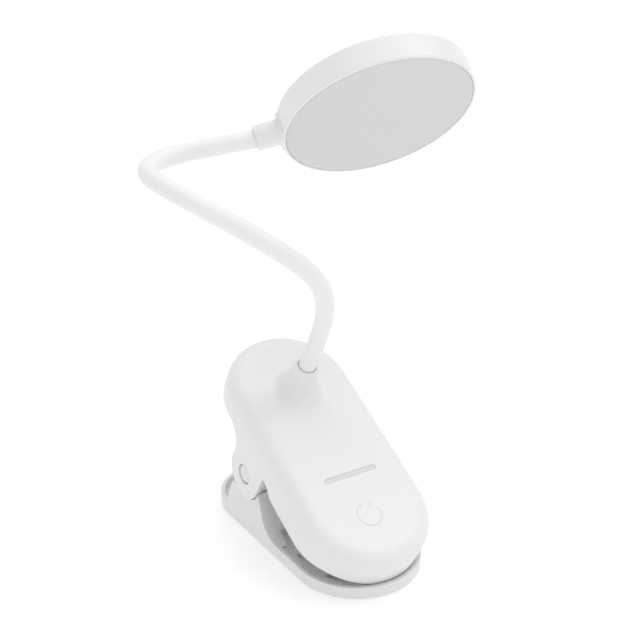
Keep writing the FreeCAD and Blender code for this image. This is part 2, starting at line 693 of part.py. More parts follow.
def hinge_pin():
    """Pin across both lugs and both ears, with chamfered ends."""
    body = new_body("hinge_pin")
    circle = (PIVOT[1], PIVOT[2], v.pin_radius)
    length = (v.shell_radius - v.pin_recess) * 2
    pad(body, new_sketch(body, "YZ_Plane", circles=[circle]), length, "Symmetric")
    dress(body, "Chamfer", lambda edge: len(edge.Vertexes) == 1, "Size", v.pin_chamfer)
    return body


def tangent_leg(centre, end, radius, side):
    """Angle and length of the straight leg from a coil round centre to end, leaving on one side."""
    dy = end[0] - centre[0]
    dz = end[1] - centre[1]
    span = math.hypot(dy, dz)
    angle = math.atan2(dz, dy) - side * math.asin(radius / span)
    return angle, math.sqrt(span ** 2 - radius ** 2)


def torsion_spring():
    """Coil round the hinge pin with two legs that push the tails apart."""
    wire = v.coil_wire.value
    radius = v.pin_radius.value + v.moving_gap.value + wire
    centre = (PIVOT[1].value, PIVOT[2].value)
    floor_end = (v.lower_leg_y.value, v.jaw_floor.value + wire + v.fit_gap.value)
    lid = tilted(0.0, v.upper_leg_along, v.cover_up - v.coil_wire - v.moving_gap)
    lower_angle, lower_length = tangent_leg(centre, floor_end, radius, 1)
    upper_angle, upper_length = tangent_leg(centre, (lid[1].value, lid[2].value), radius, -1)
    start = lower_angle + math.pi / 2
    sweep = upper_angle - math.pi / 2 - start
    turns = v.coil_turns.value + sweep / (2 * math.pi)
    height = turns * v.coil_pitch.value
    helix = Part.makeHelix(v.coil_pitch.value, height, radius)
    profile = Part.Wire(Part.makeCircle(wire, FreeCAD.Vector(radius, 0, 0), FreeCAD.Vector(0, 1, 0)))
    coil = Part.Wire(helix.Edges).makePipeShell([profile], True, True)
    across = FreeCAD.Vector(0, 1, 0)
    first_leg = Part.makeCylinder(wire, lower_length, FreeCAD.Vector(radius, 0, 0), -across)
    turn = math.degrees(sweep)
    last_leg = Part.makeCylinder(wire, upper_length, FreeCAD.Vector(radius, 0, height), across)
    last_leg.rotate(FreeCAD.Vector(0, 0, 0), FreeCAD.Vector(0, 0, 1), turn)
    shape = coil.fuse([first_leg, last_leg])
    spring = doc.addObject("Part::Feature", "torsion_spring")
    spring.Shape = shape
    u = FreeCAD.Vector(0, math.cos(start), math.sin(start))
    w = FreeCAD.Vector(0, -math.sin(start), math.cos(start))
    turned = FreeCAD.Rotation(u, w, FreeCAD.Vector(1, 0, 0), "ZXY")
    spring.Placement = FreeCAD.Placement(FreeCAD.Vector(-height / 2, centre[0], centre[1]), turned)
    return add_node(spring, "torsion_spring")


# ---- neck ----

def vector(point):
    return FreeCAD.Vector(*[number(value) for value in point])


def neck_corners():
    """Corner points of the neck, from its foot inside the boss to the head's rim."""
    mouth = vector(tilted(0.0, v.boss_along, v.shell_top + v.boss_height))
    up = tilt_turn().multVec(FreeCAD.Vector(0, 0, 1))
    corners = [mouth - up * v.neck_depth.value, mouth + up * NECK_FIRST_RUN]
    return corners + [mouth + FreeCAD.Vector(*point) for point in NECK_ROUTE]


def hinge_points(corners):
    """Middle of each run between two bends: the places where the neck is articulated."""
    return [(corners[i] + corners[i + 1]) * 0.5 for i in range(1, len(corners) - 2)]


def bend_arc(before, corner, after, share):
    """Arc tangent to both runs at a corner, with its two tangent points."""
    back = (before - corner).normalize()
    ahead = (after - corner).normalize()
    half_turn = (math.pi - back.getAngle(ahead)) / 2
    radius = share / math.tan(half_turn)
    start = corner + back * share
    end = corner + ahead * share
    bisector = (back + ahead).normalize()
    middle = corner + bisector * (radius / math.cos(half_turn) - radius)
    return Part.Arc(start, middle, end), radius


def link_path(corners, hinges, index):
    """Path of one neck link: straight, arc, straight; the first and last links end at the neck's ends."""
    last = len(hinges)
    first_point = corners[0] if index == 0 else hinges[index - 1]
    last_point = corners[-1] if index == last else hinges[index]
    corner = corners[index + 1]
    before_run = (corner - corners[index]).Length
    if index == 0:
        before_run = NECK_FIRST_RUN
    after_run = (corners[index + 2] - corner).Length
    share = ARC_SHARE * min(before_run, after_run)
    arc, radius = bend_arc(first_point, corner, last_point, share)
    edges = [Part.LineSegment(first_point, arc.StartPoint).toShape(), arc.toShape(),
             Part.LineSegment(arc.EndPoint, last_point).toShape()]
    print("neck bend %d radius %.1f" % (index + 1, radius))
    return Part.Wire(edges)


def tube(path, radius):
    edge = path.Edges[0]
    start = edge.valueAt(edge.FirstParameter)
    heading = edge.tangentAt(edge.FirstParameter)
    profile = Part.Wire(Part.makeCircle(radius, start, heading))
    solid = path.makePipeShell([profile], True, True)
    spread = math.pi * radius ** 2 * path.Length
    if abs(solid.Volume - spread) > 0.01 * spread:
        raise ValueError("a neck tube's volume is off")
    return solid


def neck_links():
    """Sleeve and metal core of each link; a ball end of one sits in the cup end of the next."""
    corners = neck_corners()
    hinges = hinge_points(corners)
    radius = v.neck_radius.value
    cup_radius = radius + v.ball_gap.value
    for index in range(len(hinges) + 1):
        path = link_path(corners, hinges, index)
        core = tube(path, v.core_radius.value)
        outer = tube(path, radius)
        if index < len(hinges):
            outer = outer.fuse(Part.makeSphere(radius, hinges[index]))
        sleeve = outer.cut(tube(path, v.core_radius.value))
        wires = tube(path, v.core_hole.value)
        core = core.cut(wires)
        if index > 0:
            cup = Part.makeSphere(cup_radius, hinges[index - 1])
            sleeve = sleeve.cut(cup)
            core = core.cut(cup)
        for label, shape in (("neck_sleeve_%d", sleeve), ("neck_core_%d", core)):
            item = doc.addObject("Part::Feature", label % (index + 1))
            item.Shape = shape.Solids[0] if len(shape.Solids) == 1 else shape
            add_node(item, label % (index + 1))
    for place in hinges:
        print("neck hinge at %.3f %.3f %.3f" % (place.x, place.y, place.z))


def neck_anchor():
    """Ring nut under the roof that clamps the neck's foot in the boss."""
    up = ROOF_UNDER - v.anchor_thick
    ring = tilted_cylinder("anchor_ring", 0.0, v.boss_along, up, v.anchor_radius, v.anchor_thick)
    bore = tilted_cylinder("anchor_bore", 0.0, v.boss_along, up - 1.0, v.neck_radius + v.pin_gap,
                           v.anchor_thick + 2.0)
    return add_node(cut("neck_anchor", ring, bore), "neck_anchor")


# ---- light head ----

def head_axes():
    """Directions of the head: into the disc from the neck, its back and across."""
    corners = neck_corners()
    inward = (corners[-1] - corners[-2]).normalize()
    back = FreeCAD.Vector(*HEAD_BACK)
    back = (back - inward * back.dot(inward)).normalize()
    return corners[-1], -inward, back


def head_place(item, x=0.0, y=0.0, up=0.0, turn=None):
    """Place a piece of the head's frame: X from the disc's centre to the neck, Z to the back."""
    entry, outward, back = head_axes()
    across = back.cross(outward)
    frame = FreeCAD.Rotation(outward, across, back, "ZXY")
    radius = number(x) - v.head_radius.value
    rise = number(up) - v.head_thick.value / 2
    place = entry + outward * radius + across * number(y) + back * rise
    item.Placement = FreeCAD.Placement(place, frame.multiply(turn) if turn else frame)
    shift_x = (x if isinstance(x, Size) else v.head_radius * 0 + x) - v.head_radius
    shift_y = y if isinstance(y, Size) else v.head_radius * 0 + y
    shift_z = (up if isinstance(up, Size) else v.head_thick * 0 + up) - v.head_thick / 2
    mouth = tilted(0.0, v.boss_along, v.shell_top + v.boss_height)
    for axis, at_mouth, route, a, b, c in zip("xyz", mouth, NECK_ROUTE[-1], outward, across, back):
        shift = shift_x * a + shift_y * b + shift_z * c
        bind(item, "Placement.Base." + axis, shift + route + at_mouth)


def head_cover():
    """Disc-shaped cup that is open towards the light, with posts for the LED board."""
    body = new_body("head_cover", head_place)
    centre = v.head_radius * 0
    pad(body, new_sketch(body, "XY_Plane", circles=[(centre, centre, v.head_radius)]), v.head_thick)
    back = v.head_thick.value
    dress(body, "Fillet", lambda edge: all(abs(p.Point.z - back) < 1e-6 for p in edge.Vertexes),
          "Radius", v.head_edge)
    inner = v.head_radius - v.head_wall
    pocket(body, new_sketch(body, "XY_Plane", circles=[(centre, centre, inner)]), v.head_thick - v.head_wall,
           back=True)
    posts = [(x, y, v.head_post_radius) for x, y in head_post_places()]
    board_back = v.led_board_up + v.led_board_thick
    pad(body, new_sketch(body, "XY_Plane", circles=posts, height=board_back),
        v.head_thick - v.head_wall - board_back + 0.2)
    holes = [(x, y, v.screw_radius - 0.2) for x, y in head_post_places()]
    pocket(body, new_sketch(body, "XY_Plane", circles=holes, height=board_back), Size(1.6, "1.6"), back=True)
    entry = (centre, v.head_thick / 2, v.neck_radius + v.fit_gap)
    hole = new_sketch(body, "YZ_Plane", circles=[entry], height=v.head_radius - v.head_wall * 4)
    pocket(body, hole, v.head_wall * 4 + 1.0, back=True)
    return body


def head_post_places():
    """Three posts of the LED board, one third of a turn apart."""
    rise = v.head_post_ring * ROOT_THREE_HALVES
    half = v.head_post_ring * 0.5
    return [(-v.head_post_ring, v.head_post_ring * 0), (half, rise), (half, -rise)]


def led_places():
    count = int(v.led_count.value)
    return [2 * math.pi * (index + 0.5) / count for index in range(count)]


def head_parts():
    """Everything inside the head, from the lens back to the cover."""
    centre = v.head_radius * 0
    lens = make_part("Cylinder", "diffuser_lens", Radius=v.head_radius - v.head_wall - v.fit_gap * 2,
                     Height=v.lens_thick)
    head_place(lens, up=v.lens_recess)
    add_node(lens, "diffuser_lens")
    ring_low = v.lens_recess + v.lens_thick
    board_radius = v.head_radius - v.head_wall - v.led_board_inset
    ring = new_body("reflector_ring", head_place)
    walls = [(centre, centre, board_radius), (centre, centre, board_radius - v.reflector_wall)]
    pad(ring, new_sketch(ring, "XY_Plane", circles=walls, height=ring_low), v.led_board_up - ring_low)
    board = new_body("led_board", head_place)
    holes = [(x, y, v.screw_radius) for x, y in head_post_places()]
    rim = (centre, centre, board_radius)
    pad(board, new_sketch(board, "XY_Plane", circles=[rim] + holes, height=v.led_board_up), v.led_board_thick)
    led_ring = board_radius - v.led_ring_inset
    leds = []
    for angle in led_places():
        led = make_part("Box", "led", Length=v.led_side, Width=v.led_side, Height=v.led_height)
        x = led_ring * math.cos(angle) - v.led_side / 2
        y = led_ring * math.sin(angle) - v.led_side / 2
        head_place(led, x, y, v.led_board_up - v.led_height)
        leds.append(led)
    add_node(join("led_row", leds), "led_row")
    items = []
    for x, y in head_post_places():
        head = make_part("Cylinder", "head_screw_head", Radius=v.screw_head, Height=v.screw_head_height - 0.3)
        head_place(head, x, y, v.led_board_up - v.screw_head_height + 0.3)
        shank = make_part("Cylinder", "head_screw_shank", Radius=v.screw_radius - 0.22,
                          Height=v.led_board_thick + 1.4)
        head_place(shank, x, y, v.led_board_up)
        items += [head, shank]
    add_node(join("head_screws", items), "head_screws")


def head_socket():
    """Sleeve on a flat flange that carries the neck into the head's rim."""
    turn = FreeCAD.Rotation(FreeCAD.Vector(0, 1, 0), 90)
    middle = v.head_thick / 2
    sleeve = make_part("Cylinder", "socket_outer", Radius=v.socket_radius, Height=v.socket_length)
    head_place(sleeve, v.head_radius, 0.0, middle, turn)
    flange = make_part("Box", "socket_flange", Length=v.head_wall + v.flange_proud, Width=v.flange_half * 2,
                       Height=v.head_thick - v.flange_margin * 2)
    head_place(flange, v.head_radius - v.head_wall, -v.flange_half, v.flange_margin)
    bore = make_part("Cylinder", "socket_bore", Radius=v.neck_radius + v.pin_gap,
                     Height=v.socket_length + v.head_wall + 2.0)
    head_place(bore, v.head_radius - v.head_wall - 1.0, 0.0, middle, turn)
    disc = make_part("Cylinder", "socket_trim", Radius=v.head_radius, Height=v.head_thick)
    head_place(disc)
    body = join("socket_body", [sleeve, flange])
    return add_node(cut("socket_bored", cut("socket_solid", body, disc), bore), "head_socket")


def head_anchor():
    """Block that clamps the neck's foot inside the rim."""
    start = v.head_radius - v.head_wall - v.head_anchor_length - v.fit_gap * 5
    low = v.lens_recess + v.lens_thick + v.fit_gap
    block = make_part("Box", "anchor_block", Length=v.head_anchor_length, Width=v.head_anchor_half * 2,
                      Height=v.head_thick - v.head_wall - low)
    head_place(block, start, -v.head_anchor_half, low)
    bore = make_part("Cylinder", "anchor_hole", Radius=v.core_radius + v.pin_gap,
                     Height=v.head_anchor_length + 2.0)
    head_place(bore, start - 1.0, 0.0, v.head_thick / 2, FreeCAD.Rotation(FreeCAD.Vector(0, 1, 0), 90))
    return add_node(cut("head_anchor", block, bore), "head_anchor")


def build():
    top_housing()
    bottom_cover()
    upper_jaw_pad()
    indicator_light_bar()
    touch_parts()
    control_board()
    board_components()
    battery_parts()
    usb_parts()
    screws("cover_screws", post_places(), v.cover_up, True, v.screw_length - 2.0)
    screws("board_screws", board_holes(), v.board_up + v.board_thick, False, Size(3.2, "3.2"))
    neck_anchor()
    lower_jaw()
    lower_jaw_pad()
    hinge_pin()
    torsion_spring()
    neck_links()
    head_cover()
    head_parts()
    head_socket()
    head_anchor()


def save():
    """Check every object and every sub-part, then write the sub-parts."""
    doc.recompute()
    for item in doc.Objects:
        if "Invalid" in item.State or "Error" in item.State:
            raise ValueError("%s failed" % item.Label)
    for node in node_objects:
        if node.Shape.isNull() or not node.Shape.isValid() or not node.Shape.Solids:
            raise ValueError("%s has no valid solid" % node.Label)
    os.makedirs("parts", exist_ok=True)
    for node in node_objects:
        node.Shape.exportStep("parts/%s.step" % node.Label)
        print("%-22s %9.1f mm3  %d solid(s)" % (node.Label, node.Shape.Volume, len(node.Shape.Solids)))


build()
save()
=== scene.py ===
import json
import math

import bmesh
import bpy
from mathutils import Matrix, Vector


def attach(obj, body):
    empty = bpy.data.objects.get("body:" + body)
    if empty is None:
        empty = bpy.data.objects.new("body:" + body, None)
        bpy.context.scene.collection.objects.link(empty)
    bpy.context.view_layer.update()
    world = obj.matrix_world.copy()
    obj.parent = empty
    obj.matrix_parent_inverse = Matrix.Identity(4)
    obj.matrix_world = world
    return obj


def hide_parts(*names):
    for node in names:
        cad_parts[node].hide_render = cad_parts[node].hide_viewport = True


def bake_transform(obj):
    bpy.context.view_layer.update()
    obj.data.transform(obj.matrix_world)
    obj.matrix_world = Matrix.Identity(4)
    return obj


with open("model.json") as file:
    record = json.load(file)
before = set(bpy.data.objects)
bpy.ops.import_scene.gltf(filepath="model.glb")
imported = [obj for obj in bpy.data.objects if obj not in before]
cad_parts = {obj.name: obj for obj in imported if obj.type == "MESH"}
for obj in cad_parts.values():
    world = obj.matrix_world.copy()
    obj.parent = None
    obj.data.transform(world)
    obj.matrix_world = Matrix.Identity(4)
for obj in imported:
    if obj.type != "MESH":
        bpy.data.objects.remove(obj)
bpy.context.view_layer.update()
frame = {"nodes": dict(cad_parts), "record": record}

record = frame["record"]
nodes = frame["nodes"]
mounts = {mount["name"]: mount for mount in record["mounts"]}

# Pieces are modelled in millimetres in the frame they are easiest to draw in, then placed.
metres = 0.001
millimetre = Matrix.Scale(metres, 4)

# the clip's upper half: x across, y from nose to tail along the top, z square to the top
clip = {"inletAlong": 118.2, "inletUp": 8.0}


def clipFrame():
    along = Vector(mounts["charging_inlet"]["axis"])
    up = Vector((1, 0, 0)).cross(along)
    inlet = Vector(mounts["charging_inlet"]["pos_m"]) * 1000
    nose = inlet - along * clip["inletAlong"] - up * clip["inletUp"]
    turn = Matrix((Vector((1, 0, 0)), along, up)).transposed().to_4x4()
    return Matrix.Translation(nose) @ turn


upperFrame = clipFrame()
lampFrame = Matrix.Identity(4)
sideways = Matrix.Rotation(math.pi / 2, 4, "Y")
cutter = {"side": 40.0, "top": 70.0}  # how far a cutting shape runs past what it cuts


def arcPoints(start, end, radius, steps=10):
    start, end = Vector(start), Vector(end)
    chord = end - start
    left = Vector((-chord.y, chord.x)).normalized()
    reach = math.sqrt(max(radius ** 2 - (chord.length / 2) ** 2, 0))
    centre = (start + end) / 2 + left * math.copysign(reach, radius)
    first = math.atan2(start.y - centre.y, start.x - centre.x)
    last = math.atan2(end.y - centre.y, end.x - centre.x)
    if radius > 0 and last < first:
        last += math.tau
    if radius < 0 and last > first:
        last -= math.tau
    size = abs(radius)
    angles = [first + (last - first) * step / steps for step in range(1, steps)]
    return [(centre.x + size * math.cos(a), centre.y + size * math.sin(a)) for a in angles]


def outline(path, steps=10):
    # corner points; a third number makes an arc from that point to the next, positive turning left
    points = []
    for index, point in enumerate(path):
        points.append((point[0], point[1]))
        if len(point) == 3:
            after = path[(index + 1) % len(path)]
            points += arcPoints(point[:2], after[:2], point[2], steps)
    return points


def easeLine(start, end, steps=8):
    # a soft step from one height to another
    points = []
    for step in range(steps + 1):
        share = step / steps
        ease = share * share * (3 - 2 * share)
        points.append((start[0] + (end[0] - start[0]) * share, start[1] + (end[1] - start[1]) * ease))
    return points


def quarterTurn(steps):
    return [math.pi / 2 * step / steps for step in range(steps + 1)]


def bezierLine(start, handle, end, steps=12):
    points = []
    for step in range(steps + 1):
        t = step / steps
        points.append(tuple((1 - t) ** 2 * a + 2 * t * (1 - t) * b + t * t * c
                            for a, b, c in zip(start, handle, end)))
    return points


def edgesOf(items):
    return [item for item in items if isinstance(item, bmesh.types.BMEdge)]


def vertsOf(items):
    return [item for item in items if isinstance(item, bmesh.types.BMVert)]


def outward(bm):
    bmesh.ops.recalc_face_normals(bm, faces=bm.faces)
    return bm


def prism(points, plane, low, high):
    # extrudes a flat outline: "x" outlines are (y, z), "z" outlines are (x, y)
    bm = bmesh.new()
    place = (lambda a, b: (low, a, b)) if plane == "x" else (lambda a, b: (a, b, low))
    face = bm.faces.new([bm.verts.new(place(a, b)) for a, b in points])
    grown = bmesh.ops.extrude_face_region(bm, geom=[face])
    side = Vector((1, 0, 0)) if plane == "x" else Vector((0, 0, 1))
    bmesh.ops.translate(bm, verts=vertsOf(grown["geom"]), vec=side * (high - low))
    return outward(bm)


def boxShape(low, high):
    bm = bmesh.new()
    bmesh.ops.create_cube(bm, size=1)
    size = Vector(high) - Vector(low)
    bmesh.ops.scale(bm, vec=size, verts=bm.verts)
    bmesh.ops.translate(bm, vec=(Vector(high) + Vector(low)) / 2, verts=bm.verts)
    return bm


def turned(profile, centre=(0, 0), steps=64, angle=math.tau, start=0.0, closed=False):
    # spins a profile of (radius, height) about an upright axis
    bm = bmesh.new()
    chain = [bm.verts.new((radius, 0, height)) for radius, height in profile]
    pairs = list(zip(chain, chain[1:])) + ([(chain[-1], chain[0])] if closed else [])
    edges = [bm.edges.new(pair) for pair in pairs]
    full = abs(angle - math.tau) < 1e-6
    bmesh.ops.rotate(bm, verts=chain, cent=(0, 0, 0), matrix=Matrix.Rotation(start, 3, "Z"))
    spun = bmesh.ops.spin(bm, geom=chain + edges, cent=(0, 0, 0), axis=(0, 0, 1), dvec=(0, 0, 0),
                          angle=angle, steps=steps, use_merge=full)
    if not full and closed:
        bmesh.ops.edgeloop_fill(bm, edges=edgesOf(spun["geom_last"]))
        bmesh.ops.edgeloop_fill(bm, edges=edges)
    bmesh.ops.remove_doubles(bm, verts=bm.verts, dist=1e-4)
    bmesh.ops.translate(bm, vec=(centre[0], centre[1], 0), verts=bm.verts)
    return outward(bm)


def turnRing(bm, ring, centre, angle, steps):
    spun = bmesh.ops.spin(bm, geom=ring, cent=centre, axis=(0, 0, 1), dvec=(0, 0, 0),
                          angle=angle, steps=steps)
    return spun["geom_last"]


def slideRing(bm, ring, vec, steps=1):
    for step in range(steps):
        grown = bmesh.ops.extrude_edge_only(bm, edges=edgesOf(ring))["geom"]
        ring = [item for item in grown if not isinstance(item, bmesh.types.BMFace)]
        bmesh.ops.translate(bm, verts=vertsOf(ring), vec=Vector(vec) / steps)
    return ring


def wallRound(profile, plan, steps=28):
    # carries a wall's section of (inset, height) round a plan with a round nose and round tail corners
    bm = bmesh.new()
    half, corner = plan["half"], plan["corner"]
    nose, tail = plan["noseCentre"], plan["tailCentre"]
    chain = [bm.verts.new((half - inset, nose, up)) for inset, up in profile]
    ring = chain + [bm.edges.new(pair) for pair in zip(chain, chain[1:])]
    ring = turnRing(bm, ring, (0, nose, 0), -math.pi, steps * 2)
    ring = slideRing(bm, ring, (0, tail - nose, 0), 6)
    ring = turnRing(bm, ring, (corner - half, tail, 0), -math.pi / 2, steps)
    if half - corner > 0.01:
        ring = slideRing(bm, ring, (2 * (half - corner), 0, 0))
    ring = turnRing(bm, ring, (half - corner, tail, 0), -math.pi / 2, steps)
    slideRing(bm, ring, (0, nose - tail, 0), 6)
    bmesh.ops.remove_doubles(bm, verts=bm.verts, dist=1e-3)
    return bm


def openEdges(bm, height):
    return [edge for edge in bm.edges if edge.is_boundary
            and all(abs(vertex.co.z - height) < 1e-3 for vertex in edge.verts)]


def absorb(bm, other):
    # adds another shape's faces to a mesh in the making
    carrier = bpy.data.meshes.new("carrier")
    other.to_mesh(carrier)
    other.free()
    bm.from_mesh(carrier)
    bpy.data.meshes.remove(carrier)


def linked(name, data):
    made = bpy.data.objects.new(name, data)
    bpy.context.scene.collection.objects.link(made)
    return made


def objectFrom(bm, name):
    mesh = bpy.data.meshes.new(name)
    bm.to_mesh(mesh)
    bm.free()
    return linked(name, mesh)


def finished(piece):
    # the mesh that a piece's modifiers or curve make
    bpy.context.view_layer.update()
    graph = bpy.context.evaluated_depsgraph_get()
    return bpy.data.meshes.new_from_object(piece.evaluated_get(graph))


def applyAll(piece):
    mesh, old = finished(piece), piece.data
    piece.modifiers.clear()
    piece.data = mesh
    bpy.data.meshes.remove(old)


def carve(piece, cutterShape, operation="DIFFERENCE"):
    tool = objectFrom(cutterShape, "cutter")
    step = piece.modifiers.new("carve", "BOOLEAN")
    step.operation = operation
    step.solver = "EXACT"
    step.object = tool
    applyAll(piece)
    bpy.data.objects.remove(tool)


def soften(piece, width, segments=3, angle=35):
    bevel = piece.modifiers.new("soften", "BEVEL")
    bevel.width = width
    bevel.segments = segments
    bevel.limit_method = "ANGLE"
    bevel.angle_limit = math.radians(angle)
    bevel.miter_outer = "MITER_ARC"
    applyAll(piece)


def shade(piece, material, sharp):
    piece.data.materials.clear()
    piece.data.materials.append(material)
    piece.data.polygons.foreach_set("use_smooth", [True] * len(piece.data.polygons))
    piece.data.set_sharp_from_angle(angle=math.radians(sharp))


def settle(piece, place, body, material, stands=(), sharp=35):
    # puts the mesh where it belongs, shades it and ties it to its body
    shape = bmesh.new()
    shape.from_mesh(piece.data)
    bmesh.ops.remove_doubles(shape, verts=shape.verts, dist=2e-3)
    outward(shape)
    shape.transform(millimetre @ place)
    shape.to_mesh(piece.data)
    shape.free()
    shade(piece, material, sharp)
    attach(piece, body)
    if stands:
        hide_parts(*stands)
    return piece


def newGroup(name, inputs, outputs):
    # a group that takes a place and some numbers and gives numbers
    group = bpy.data.node_groups.new(name, "ShaderNodeTree")
    group.interface.new_socket(name="Vector", in_out="INPUT", socket_type="NodeSocketVector")
    for label in inputs:
        group.interface.new_socket(name=label, in_out="INPUT", socket_type="NodeSocketFloat")
    for label in outputs:
        group.interface.new_socket(name=label, in_out="OUTPUT", socket_type="NodeSocketFloat")
    return group, group.nodes.new("NodeGroupInput").outputs, group.nodes.new("NodeGroupOutput").inputs


def fill(node, **values):
    # sets a node's sockets by their labels
    for label, value in values.items():
        node.inputs[label.replace("_", " ")].default_value = value
    return node


def feed(tree, sockets, values):
    # links each socket to another, or sets it to a number or a colour
    for socket, value in zip(sockets, values):
        if isinstance(value, bpy.types.NodeSocket):
            tree.links.new(value, socket)
        elif value is not None:
            socket.default_value = value


def mathNode(tree, operation, a, b=None, clamp=False):
    node = tree.nodes.new("ShaderNodeMath")
    node.operation = operation
    node.use_clamp = clamp
    feed(tree, node.inputs, (a, b))
    return node.outputs[0]


def mixColours(tree, factor, first, second):
    node = tree.nodes.new("ShaderNodeMix")
    node.data_type = "RGBA"
    feed(tree, (node.inputs["Factor"], node.inputs[6], node.inputs[7]), (factor, first, second))
    return node.outputs[2]


def noise(tree, vector, scale, detail=4.0, rough=0.55):
    node = fill(tree.nodes.new("ShaderNodeTexNoise"), Detail=detail, Roughness=rough)
    feed(tree, (node.inputs["Vector"], node.inputs["Scale"]), (vector, scale))
    return node.outputs["Fac"]


def mouldGrainGroup():
    # fine spark-eroded grain with slow drift in gloss, as on moulded plastic
    group, given, result = newGroup("Mould grain", ("Grain Scale", "Base Rough", "Rough Spread"),
                                    ("Height", "Rough", "Drift"))
    grain = noise(group, given["Vector"], given["Grain Scale"], 3.0, 0.6)
    drift = noise(group, given["Vector"], 38.0, 2.0, 0.5)
    swing = mathNode(group, "SUBTRACT", drift, 0.5)
    spread = mathNode(group, "MULTIPLY", swing, given["Rough Spread"])
    rough = mathNode(group, "ADD", given["Base Rough"], mathNode(group, "MULTIPLY", spread, 2.0))
    for label, value in (("Height", grain), ("Rough", rough), ("Drift", drift)):
        group.links.new(value, result[label])
    return group


def dustGroup():
    # faint dust that gathers on faces that look up
    group, given, result = newGroup("Settled dust", ("Amount",), ("Mask",))
    geometry = group.nodes.new("ShaderNodeNewGeometry")
    split = group.nodes.new("ShaderNodeSeparateXYZ")
    group.links.new(geometry.outputs["Normal"], split.inputs["Vector"])
    specks = noise(group, given["Vector"], 620.0, 6.0, 0.7)
    above = mathNode(group, "SUBTRACT", specks, 0.5)
    sharp = mathNode(group, "MULTIPLY", above, 4.0, clamp=True)
    facing = mathNode(group, "MULTIPLY", sharp, mathNode(group, "MAXIMUM", split.outputs["Z"], 0.0))
    group.links.new(mathNode(group, "MULTIPLY", facing, given["Amount"]), result["Mask"])
    return group


mouldGrain = mouldGrainGroup()
settledDust = dustGroup()
bumpDepth = {"grain": 0.00004, "lenslet": 0.00025, "scratch": 0.00002, "track": 0.00003}  # metres


def newMaterial(name):
    material = bpy.data.materials.new(name)
    material.use_nodes = True
    tree = material.node_tree
    shader = tree.nodes["Principled BSDF"]
    place = tree.nodes.new("ShaderNodeTexCoord").outputs["Object"]
    return material, tree, shader, place


def useGroup(tree, group, place, **values):
    node = tree.nodes.new("ShaderNodeGroup")
    node.node_tree = group
    tree.links.new(place, node.inputs["Vector"])
    return fill(node, **values)


def grainOf(tree, place, look):
    return useGroup(tree, mouldGrain, place, Grain_Scale=look["grainScale"], Base_Rough=look["rough"],
                    Rough_Spread=look["roughSpread"])


def bump(tree, shader, height, strength, distance):
    node = fill(tree.nodes.new("ShaderNodeBump"), Strength=strength, Distance=distance)
    tree.links.new(height, node.inputs["Height"])
    tree.links.new(node.outputs["Normal"], shader.inputs["Normal"])


def paint(tree, shader, colour, rough):
    tree.links.new(colour, shader.inputs["Base Color"])
    tree.links.new(rough, shader.inputs["Roughness"])


def mouldedLook(name, look):
    # moulded plastic, or a rubbery skin where the look has a sheen: fine grain, drifting tint, a little dust
    material, tree, shader, place = newMaterial(name)
    grain = grainOf(tree, place, look)
    dust = useGroup(tree, settledDust, place, Amount=look["dust"])
    drift = grain.outputs["Drift"]
    if "sheen" in look:
        drift = noise(tree, place, look["cloudScale"], 3.0, 0.5)
        fill(shader, Sheen_Weight=look["sheen"], Sheen_Roughness=0.45)
    else:
        fill(shader, IOR=1.46)
    tint = mixColours(tree, drift, look["deep"], look["pale"])
    colour = mixColours(tree, dust.outputs["Mask"], tint, look["dustColour"])
    paint(tree, shader, colour, grain.outputs["Rough"])
    bump(tree, shader, grain.outputs["Height"], look["bump"], bumpDepth["grain"])
    return material


whitePlastic = mouldedLook("White moulded plastic", {
    "pale": (0.80, 0.80, 0.795, 1), "deep": (0.765, 0.766, 0.765, 1), "dustColour": (0.70, 0.70, 0.69, 1),
    "dust": 0.10, "grainScale": 1900.0, "rough": 0.40, "roughSpread": 0.07, "bump": 0.16})
jawPlastic = mouldedLook("White jaw plastic", {
    "pale": (0.77, 0.77, 0.765, 1), "deep": (0.735, 0.736, 0.735, 1), "dustColour": (0.68, 0.68, 0.67, 1),
    "dust": 0.10, "grainScale": 1700.0, "rough": 0.45, "roughSpread": 0.08, "bump": 0.20})
anchorPlastic = mouldedLook("Grey structural plastic", {
    "pale": (0.36, 0.37, 0.38, 1), "deep": (0.29, 0.30, 0.31, 1), "dustColour": (0.45, 0.45, 0.44, 1),
    "dust": 0.08, "grainScale": 1500.0, "rough": 0.5, "roughSpread": 0.08, "bump": 0.25})
markPaint = mouldedLook("Pale power mark", {
    "pale": (0.745, 0.745, 0.74, 1), "deep": (0.71, 0.71, 0.71, 1), "dustColour": (0.60, 0.60, 0.59, 1),
    "dust": 0.05, "grainScale": 2400.0, "rough": 0.55, "roughSpread": 0.05, "bump": 0.20})
neckSilicone = mouldedLook("White neck silicone", {
    "pale": (0.83, 0.83, 0.825, 1), "deep": (0.795, 0.796, 0.795, 1), "dustColour": (0.72, 0.72, 0.71, 1),
    "dust": 0.12, "grainScale": 2300.0, "rough": 0.5, "roughSpread": 0.06, "cloudScale": 55.0,
    "sheen": 0.12, "bump": 0.12})
softPad = mouldedLook("Soft grip pad", {
    "pale": (0.70, 0.70, 0.70, 1), "deep": (0.63, 0.635, 0.64, 1), "dustColour": (0.62, 0.62, 0.61, 1),
    "dust": 0.15, "grainScale": 1500.0, "rough": 0.62, "roughSpread": 0.08, "cloudScale": 70.0,
    "sheen": 0.2, "bump": 0.30})
greyFoam = mouldedLook("Grey foam", {
    "pale": (0.22, 0.22, 0.23, 1), "deep": (0.12, 0.12, 0.13, 1), "dustColour": (0.30, 0.30, 0.30, 1),
    "dust": 0.1, "grainScale": 900.0, "rough": 0.9, "roughSpread": 0.05, "cloudScale": 400.0,
    "sheen": 0.3, "bump": 0.9})


